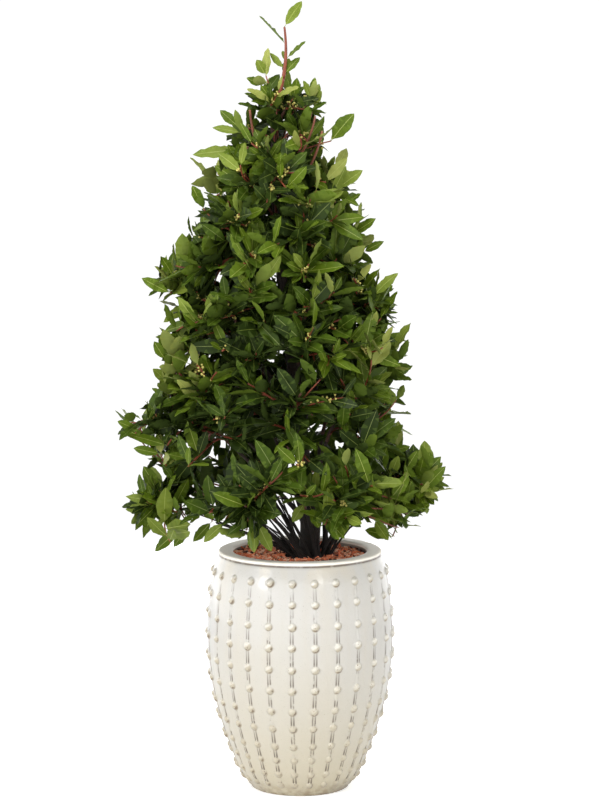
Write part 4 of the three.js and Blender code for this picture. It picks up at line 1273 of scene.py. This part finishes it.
def stud_relief(across, z, column):
    """How high the studs stand, how far a point is from the middle of the nearest one as a share of its
    radius, and how far it lies to the lower right of it, which the glaze uses for painted shade. A stud
    rises by (1 - d^2)^0.6 at the distance d."""
    relief, under = np.zeros_like(z), np.zeros_like(z)
    nearest = np.full_like(z, FAR)
    for n, height in enumerate(STUD["heights"]):
        wobble = chance(column + 3, n + 50) - 0.5
        size = STUD["radius"] * (STUD_SIZE["least"] + STUD_SIZE["more"] * pot_radius(height) / WIDEST)
        size = size * (1 + STUD_CHANGE["size"] * wobble)
        dx = across - STUD_CHANGE["place"] * (chance(column, n + 7) - 0.5)
        dz = z - height - STUD_CHANGE["place"] * (chance(column, n + 19) - 0.5)
        d = np.hypot(dx, dz) / size
        cap = np.clip(1 - d**2, 0, 1) ** 0.6
        relief += STUD["rise"] * (1 + STUD_CHANGE["rise"] * (chance(column, n + 33) - 0.5)) * cap
        under = np.where(d < nearest, (0.55 * dx - 0.83 * dz) / size, under)
        nearest = np.minimum(nearest, d)
    return relief, nearest, under


def between_studs(z):
    """How much of the rib there is at a height, which is 1 half way between two studs and 0 at each, and how
    much of its brown lines, which also fade towards the upper stud."""
    rib, lines = np.zeros_like(z), np.zeros_like(z)
    for low, high in zip(STUD["heights"][:-1], STUD["heights"][1:]):
        share = np.clip((z - low) / (high - low), 0, 1)
        middle = np.clip(1 - ((share - 0.5) / 0.36) ** 4, 0, 1)
        rib = np.maximum(rib, middle)
        lines = np.maximum(lines, middle * np.clip(1.25 - 1.1 * share, 0, 1))
    return rib, lines


def rib_across(across):
    """A rib's form from side to side: a round ridge with a groove along each side of it."""
    ridge = np.exp(-((across / RIB_RELIEF["width"]) ** 2))
    aside = (np.abs(across) - RIB_RELIEF["groove_at"]) / RIB_RELIEF["groove_width"]
    return ridge - RIB_RELIEF["groove"] * np.exp(-(aside**2))


def pot_mesh():
    """The pot as one closed surface of revolution whose outside has relief: the studs in columns, a low rib
    between the studs of a column, and a slow wave of the wall. With it go the values that the glaze reads."""
    profile, outside = pot_profile()
    step = 2 * np.pi / STUD["columns"]
    first = -np.pi / 2 + math.radians(STUD["turn"])
    per_column = np.concatenate([-COLUMN_STEPS[:0:-1], COLUMN_STEPS, [BETWEEN_COLUMNS]])
    angle = (first + step * np.arange(STUD["columns"])[:, None] + per_column[None] / WIDEST).ravel()
    column = np.repeat(np.arange(STUD["columns"]), len(per_column))

    r = profile[:, 0][:, None] * np.ones(len(angle))
    z = profile[:, 1][:, None] * np.ones(len(angle))
    across = (angle - first - column * step)[None] * r
    relief, nearest, under = stud_relief(across, z, column)
    rib, lines = between_studs(z)
    relief += RIB_RELIEF["rise"] * rib_across(across) * rib
    crease = np.exp(-(((z - CREASE["height"]) / CREASE["width"]) ** 2)) * (r > CREASE["outside"])
    wave = WALL_WAVE["depth"] * noise(polar(r, angle[None], z), WALL_WAVE["length"], 9)
    r = r + relief * outside[:, None] + wave * ((z > 10) & (z < 590) & (r > 120))
    verts = polar(r, angle[None], z).reshape(-1, 3)
    verts = np.concatenate([verts, [[0, 0, 0], [0, 0, POT["floor"]]]])
    ends = lambda field, fill: np.append(field.ravel(), [fill, fill])
    values = [
        ("stud_distance", ends(nearest, FAR)),
        ("stud_under", ends(np.clip(under, -2, 2), 0.0)),
        ("line_distance", ends(np.abs(across), 30.0)),
        ("between_studs", ends(lines * outside[:, None], 0.0)),
        ("crease", ends(crease, 0.0)),
    ]
    return verts, *ring_faces(len(profile), len(angle)), values


GLAZE = {  # the tones of the glaze and of what shows where it is thin
    "high": (180, 178, 173),
    "low": (178, 168, 142),
    "streak": (181, 173, 156),
    "under_rim": (192, 182, 160),
    # painted light: the flat of the rim is near white, for the light that the leaves above keep off it
    "rim": (252, 246, 234),
    "line": (62, 42, 20),
    # brown glaze round a stud's foot, with painted shade in the crevice there
    "ring": (129, 112, 86),
    # painted light and shade: a stud's upper side lighter than the wall, its lower side darker
    "stud": (202, 198, 187),
    "stud_below": (166, 156, 133),
    "worn": (92, 70, 44),
    "crease": (66, 44, 22),
    "foot": (123, 105, 77),
    "speck": (101, 85, 61),
    "crackle": (138, 125, 101),
}


def laid_over(nodes, color, name, share, strength=1.0):
    """A tone of the glaze over a colour, where its share says and as strongly as it says."""
    if strength < 1:
        share = nodes.times(share, strength)
    return nodes.blend(share, color, tone(*GLAZE[name]))


def glaze_ground(nodes, place, height, streak):
    """The glaze away from the relief: warmer low down and in clouds, streaked, and paler under the rim."""
    cloud = nodes.noise(5, 3.0, place)
    low = nodes.scale(height, 0.0, 0.42, 1.0, 0.0)
    warm = nodes.math("ADD", nodes.times(low, 0.75), nodes.times(cloud, 0.4))
    color = nodes.blend(nodes.scale(warm, 0.15, 1.0), tone(*GLAZE["high"]), tone(*GLAZE["low"]))
    color = laid_over(nodes, color, "streak", nodes.scale(streak, 0.45, 0.75, 0.0, 0.4))
    under_rim = nodes.times(nodes.scale(height, 0.545, 0.59), nodes.scale(streak, 0.42, 0.6))
    return laid_over(nodes, color, "under_rim", under_rim, 0.45)


def glaze_lines(nodes, place, height):
    """Where the brown lines are: along both sides of a rib, broken by a noise, and fainter high up."""
    line = nodes.math("SUBTRACT", nodes.read("line_distance"), 3.1)
    line = nodes.scale(nodes.math("ABSOLUTE", line), 0.9, 2.8, 1.0, 0.0)
    line = nodes.times(line, nodes.read("between_studs"))
    line = nodes.times(line, nodes.scale(nodes.noise(24, 3.0, place, 0.6), 0.41, 0.49))
    return nodes.times(line, nodes.scale(height, 0.56, 0.36, 0.4, 1.0))


def glaze_studs(nodes, color, place, height, broken):
    """The studs: a brown ring at the foot with painted shade in the crevice there, strongest on the lower
    side;
    a cap painted lighter on its upper side and darker on its lower side, as painted light and shade, and
    darker on the studs low on the pot; and worn brown spots.
    """
    ring = nodes.math("ABSOLUTE", nodes.math("SUBTRACT", nodes.read("stud_distance"), 0.98))
    ring = nodes.scale(ring, 0.04, 0.26, 1.0, 0.0)
    # painted shade: the ring is strongest on the stud's lower side
    ring = nodes.times(ring, nodes.scale(nodes.read("stud_under"), -0.3, 0.7, 0.1, 1.0))
    ring = nodes.times(ring, nodes.scale(broken, 0.36, 0.58, 0.35, 1.0))
    color = laid_over(nodes, color, "ring", ring, 0.72)
    on_stud = nodes.scale(nodes.read("stud_distance"), 1.0, 0.9)
    # painted light and shade: the cap is lighter above its middle and darker below it, and darker low on the
    # pot
    shaded_side = nodes.scale(nodes.read("stud_under"), -0.3, 0.12)
    shaded_and_low = nodes.math("MAXIMUM", shaded_side, nodes.scale(height, 0.42, 0.2, 0, 0.9))
    cap = nodes.blend(shaded_and_low, tone(*GLAZE["stud"]), tone(*GLAZE["stud_below"]))
    color = nodes.blend(nodes.times(on_stud, 0.8), color, cap)
    grit = nodes.noise(260, 2.0, place)
    worn = nodes.math("ABSOLUTE", nodes.math("SUBTRACT", nodes.read("stud_distance"), 0.78))
    worn = nodes.times(nodes.scale(worn, 0.08, 0.24, 1.0, 0.0), nodes.scale(broken, 0.5, 0.55))
    worn = nodes.times(worn, nodes.scale(nodes.read("stud_under"), 0.1, 0.5))
    worn = nodes.math("MAXIMUM", worn, nodes.times(on_stud, nodes.scale(grit, 0.66, 0.7)))
    return laid_over(nodes, color, "worn", worn, 0.8)


def glaze_wear(nodes, color, place, height, broken):
    """Over all of it: a brown foot, fine specks, and the net of a fine crackle."""
    foot = nodes.times(nodes.scale(height, 0.04, 0.004), nodes.scale(broken, 0.35, 0.6))
    color = laid_over(nodes, color, "foot", foot, 0.7)
    specks = nodes.scale(nodes.noise(420, 1.0, place), 0.72, 0.76)
    color = laid_over(nodes, color, "speck", specks, 0.5)
    crazing = nodes.add("ShaderNodeTexVoronoi", {"Vector": place, "Scale": 150.0}, feature="DISTANCE_TO_EDGE")
    crackle = nodes.scale(crazing.outputs["Distance"], 0.0, 0.035, 1.0, 0.0)
    return laid_over(nodes, color, "crackle", crackle, 0.07)


def glaze_bump(nodes, place, stretched):
    """The glaze's own unevenness: long soft runs downwards, and a fine grain."""
    runs = nodes.times(nodes.noise(20, 2.0, stretched), 1.0)
    swell = nodes.math("ADD", runs, nodes.times(nodes.noise(110, 2.0, place), 0.14))
    return nodes.add("ShaderNodeBump", {"Strength": 0.7, "Distance": 0.005, "Height": swell}).outputs[0]


def glaze_material():
    """A cream glaze, thin and brown where it broke over the relief, and rough and bare of gloss there and on
    the flat of the rim, which is also painted lighter: painted light for the light that the leaves keep off
    it."""
    made = bpy.data.materials.new("cream_glaze")
    made.use_nodes = True
    nodes = Nodes(made.node_tree)
    place = nodes.place()
    height = nodes.add("ShaderNodeSeparateXYZ", {0: place}).outputs[2]
    stretched = nodes.add("ShaderNodeMapping", {"Vector": place, "Scale": (1.0, 1.0, 0.12)}).outputs[0]
    broken = nodes.noise(60, 3.0, place)
    color = glaze_ground(nodes, place, height, nodes.noise(26, 3.0, stretched))
    rim = nodes.scale(height, 0.5925, 0.5945)
    # painted light: the flat of the rim is laid over with the near-white rim tone
    color = laid_over(nodes, color, "rim", rim, 0.9)
    line = glaze_lines(nodes, place, height)
    color = laid_over(nodes, color, "line", line)
    color = glaze_studs(nodes, color, place, height, broken)
    edge = nodes.times(nodes.read("crease"), nodes.scale(broken, 0.35, 0.5, 0.6, 1.0))
    color = laid_over(nodes, color, "crease", edge)
    color = glaze_wear(nodes, color, place, height, broken)
    rough = nodes.scale(nodes.math("ADD", nodes.math("ADD", line, edge), rim), 0, 1, 0.28, 0.7)
    shader = nodes.add("ShaderNodeBsdfPrincipled", {
        "Base Color": color, "Roughness": rough, "Normal": glaze_bump(nodes, place, stretched),
        "Coat Weight": nodes.scale(rim, 0, 1, 0.8, 0.0), "Coat Roughness": 0.13, "IOR": 1.5,
    })
    nodes.add("ShaderNodeOutputMaterial", {"Surface": shader.outputs[0]})
    return made


pot_verts, pot_quads, pot_tris, pot_values = pot_mesh()
pot = make_piece("glazed_pot", pot_verts, pot_quads, pot_tris, [glaze_material()], slot="glaze",
                 values=pot_values)
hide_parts("pot")

# ---- the soil and the bark chips -----------------------------------------------------------------


SOIL = {"sides": 120, "bottom": 30.6, "gap": 2.2, "top": 568, "heights": (60, 130, 270, 420), "rings": 26}


def soil_mesh():
    """The fill of the pot: rings up its inside, then over the mound, whose top is rough with crumbs."""
    turn = np.arange(SOIL["sides"]) * 2 * np.pi / SOIL["sides"]
    inside = [(POT["floor_radius"] - 8, SOIL["bottom"])]
    inside += [(float(inner_radius(z)) - SOIL["gap"], z) for z in (*SOIL["heights"], SOIL["top"])]
    rings = [polar(r, turn, z) for r, z in inside]
    for share in np.linspace(1, 0.02, SOIL["rings"]):
        radius = share * (float(inner_radius(SOIL["top"])) - 3)
        ring = polar(radius, turn, SOIL["top"], GROUND["mound_x"] * (1 - share))
        away = np.hypot(ring[:, 0] - GROUND["mound_x"], ring[:, 1]) / GROUND["mound_radius"]
        mound = 13 * np.clip(1.25 - away, 0, 0.25) / 0.25 + 8 * np.exp(-((away / 0.5) ** 2))
        ring[:, 2] += mound + 2.2 * noise(ring, 9, 2) + 1.6 * noise(ring, 4, 4)
        rings.append(ring)
    ends = [[0, 0, SOIL["bottom"]], [GROUND["mound_x"], 0, rings[-1][:, 2].mean()]]
    verts = np.vstack([np.array(rings).reshape(-1, 3), ends])
    return verts, *ring_faces(len(rings), SOIL["sides"])


soil = make_piece("potting_soil", *soil_mesh(), [soil_material], slot="soil")
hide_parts("soil")

CHIPS = {
    "count": 3600,
    "length": (7, 24),
    "width": (3, 8),
    "thickness": (1.2, 3.4),
    "inner": 60,
    "heights": (576, 589),
    "shares": (0.42, 0.27, 0.15, 0.16),  # of the four chip materials
}


def chip_mesh():
    """Chips as slabs with slanted ends, of a random length, width and thickness, each corner moved a little
    by chance. They lie nearly flat at random turns and at random heights, round the mound."""
    rng = np.random.default_rng(5)
    count = CHIPS["count"]
    outer = float(inner_radius(588)) - 7
    reach = np.sqrt(rng.uniform((CHIPS["inner"] / outer) ** 2 * 0.5, 1, count)) * outer
    angle = rng.uniform(0, 2 * np.pi, count)
    place = polar(reach, angle, 0.0)
    away = np.hypot(place[:, 0] - GROUND["mound_x"], place[:, 1])
    place[:, 2] = rng.uniform(*CHIPS["heights"], count) + 3 * noise(place, 30, 6)
    keep = away > CHIPS["inner"] + 14 * rng.uniform(-1, 1, count)
    place = place[keep]
    count = len(place)
    size = rng.beta(1.6, 3.2, count)
    length = lerp(*CHIPS["length"], size)
    width = lerp(*CHIPS["width"], rng.beta(2, 3, count) * (0.4 + 0.6 * size))
    thick = lerp(*CHIPS["thickness"], rng.random(count))
    turn = rng.uniform(0, 2 * np.pi, count)
    tilt = rng.normal(0, 0.3, count)
    roll = rng.normal(0, 0.5, count)
    way = np.stack([np.cos(turn) * np.cos(tilt), np.sin(turn) * np.cos(tilt), np.sin(tilt)], 1)
    side = unit(np.stack([-np.sin(turn), np.cos(turn), np.zeros(count)], 1))
    up = np.cross(way, side)
    side, up = (side * np.cos(roll)[:, None] + up * np.sin(roll)[:, None],
                up * np.cos(roll)[:, None] - side * np.sin(roll)[:, None])
    corner = np.array([[x, y, z] for z in (-1, 1) for x, y in ((-1, -1), (1, -1), (1, 1), (-1, 1))], float)
    box = corner[None] * (1 + rng.uniform(-0.28, 0.28, (count, 8, 3)))
    verts = (place[:, None] + way[:, None] * (box[..., 0] * length[:, None] / 2)[..., None]
             + side[:, None] * (box[..., 1] * width[:, None] / 2)[..., None]
             + up[:, None] * (box[..., 2] * thick[:, None] / 2)[..., None])
    faces = np.array([[3, 2, 1, 0], [4, 5, 6, 7], [0, 1, 5, 4], [1, 2, 6, 5], [2, 3, 7, 6], [3, 0, 4, 7]])
    kind = rng.choice(len(chip_materials), count, p=CHIPS["shares"])
    return verts.reshape(-1, 3), repeated(faces, count, 8), np.repeat(kind, 6)


chip_verts, chip_quads, chip_part = chip_mesh()
chips = make_piece("bark_chip_mulch", chip_verts, chip_quads, [], chip_materials, chip_part,
                   slot="chips", smooth=False)
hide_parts("bark_chips")

# ---- floor, light and camera ---------------------------------------------------------------------

CAMERA = {"distance": 8.0, "height": 2.0, "aim": 0.9735, "focal_pixels": 3262, "frame": (600, 800)}
SENSOR = 36
FLOOR_RADIUS, FLOOR_SIDES = 3600, 96
FLOOR_GLOW = 0.5
SKY_LIGHT = 0.24
WALL_LIGHT = 1.8
WALLS_END = (0.3, 0.62)  # the rise of the directions over which the walls' light goes over into the sky's
SEEN_WHITE = 1.05  # how bright the room is to the camera
LEFT_TO_RIGHT = (1.18, 0.8)  # the left of the room is a little brighter than the right


def floor_disc():
    """A round floor that is a little brighter to the camera than the light on it makes it."""
    i = np.arange(FLOOR_SIDES)
    verts = np.vstack([polar(FLOOR_RADIUS, i * 2 * np.pi / FLOOR_SIDES, 0.0), [[0, 0, 0]]]) * MM
    faces = np.stack([np.full(FLOOR_SIDES, FLOOR_SIDES), i, (i + 1) % FLOOR_SIDES], -1)
    mesh = bpy.data.meshes.new("floor")
    mesh.from_pydata(verts.tolist(), [], faces.tolist())
    made = bpy.data.materials.new("floor_white")
    made.use_nodes = True
    nodes = Nodes(made.node_tree)
    seen = nodes.add("ShaderNodeLightPath").outputs["Is Camera Ray"]
    glow = nodes.times(seen, FLOOR_GLOW)
    shader = nodes.add("ShaderNodeBsdfPrincipled", {
        "Base Color": (0.94, 0.94, 0.94, 1), "Roughness": 0.9, "Specular IOR Level": 0.1,
        "Emission Color": (1, 1, 1, 1), "Emission Strength": glow})
    nodes.add("ShaderNodeOutputMaterial", {"Surface": shader.outputs[0]})
    mesh.materials.append(made)
    floor = bpy.data.objects.new("floor", mesh)
    bpy.context.scene.collection.objects.link(floor)


floor_disc()

world = bpy.data.worlds.new("studio")
bpy.context.scene.world = world
world.use_nodes = True
studio = Nodes(world.node_tree)
seen = studio.add("ShaderNodeLightPath").outputs["Is Camera Ray"]
toward = studio.add("ShaderNodeTexCoord").outputs["Generated"]
across, _, up = studio.add("ShaderNodeSeparateXYZ", {0: toward}).outputs
walls = studio.scale(up, *WALLS_END, WALL_LIGHT, SKY_LIGHT)
around = studio.times(walls, studio.scale(across, -1, 1, *LEFT_TO_RIGHT))
unseen = studio.math("SUBTRACT", 1.0, seen)
light = studio.math("ADD", studio.times(seen, SEEN_WHITE), studio.times(unseen, around))
sky = studio.add("ShaderNodeBackground", {"Color": (1, 1, 1, 1), "Strength": light})
studio.add("ShaderNodeOutputWorld", {"Surface": sky.outputs[0]})


def softbox(name, place, aim, size, power):
    """A rectangular area light that faces a point."""
    data = bpy.data.lights.new(name, "AREA")
    data.shape = "RECTANGLE"
    data.size, data.size_y = size
    data.energy = power
    light = bpy.data.objects.new(name, data)
    bpy.context.scene.collection.objects.link(light)
    light.location = place
    light.rotation_euler = (Vector(aim) - Vector(place)).to_track_quat("-Z", "Y").to_euler()


softbox("window_left", (-3.7, -3.4, 1.9), (0, 0, 0.7), (1.2, 1.5), 54)
softbox("window_right", (2.0, -4.3, 2.1), (0, 0, 0.7), (0.7, 1.0), 27)
softbox("front_top", (-1.4, -4.0, 4.7), (0, 0, 0.8), (2.0, 1.4), 77)
softbox("side_light", (4.8, -0.6, 3.6), (0, 0, 1.4), (1.6, 1.8), 22)
softbox("overhead", (-0.2, -1.6, 4.6), (0, 0, 0.8), (2.4, 2.4), 124)
softbox("back_light", (0.9, 4.6, 2.2), (0, 0, 0.7), (2.2, 1.4), 50)

camera_data = bpy.data.cameras.new("camera")
camera = bpy.data.objects.new("camera", camera_data)
bpy.context.scene.collection.objects.link(camera)
camera.location = (0, -CAMERA["distance"], CAMERA["height"])
drop = math.atan2(CAMERA["height"] - CAMERA["aim"], CAMERA["distance"])
camera.rotation_euler = (math.pi / 2 - drop, 0, 0)
camera_data.sensor_width = SENSOR
camera_data.lens = CAMERA["focal_pixels"] / CAMERA["frame"][1] * SENSOR
camera_data.clip_end = 200
bpy.context.scene.camera = camera

bpy.context.scene.view_settings.view_transform = "Standard"
bpy.context.scene.view_settings.look = "None"
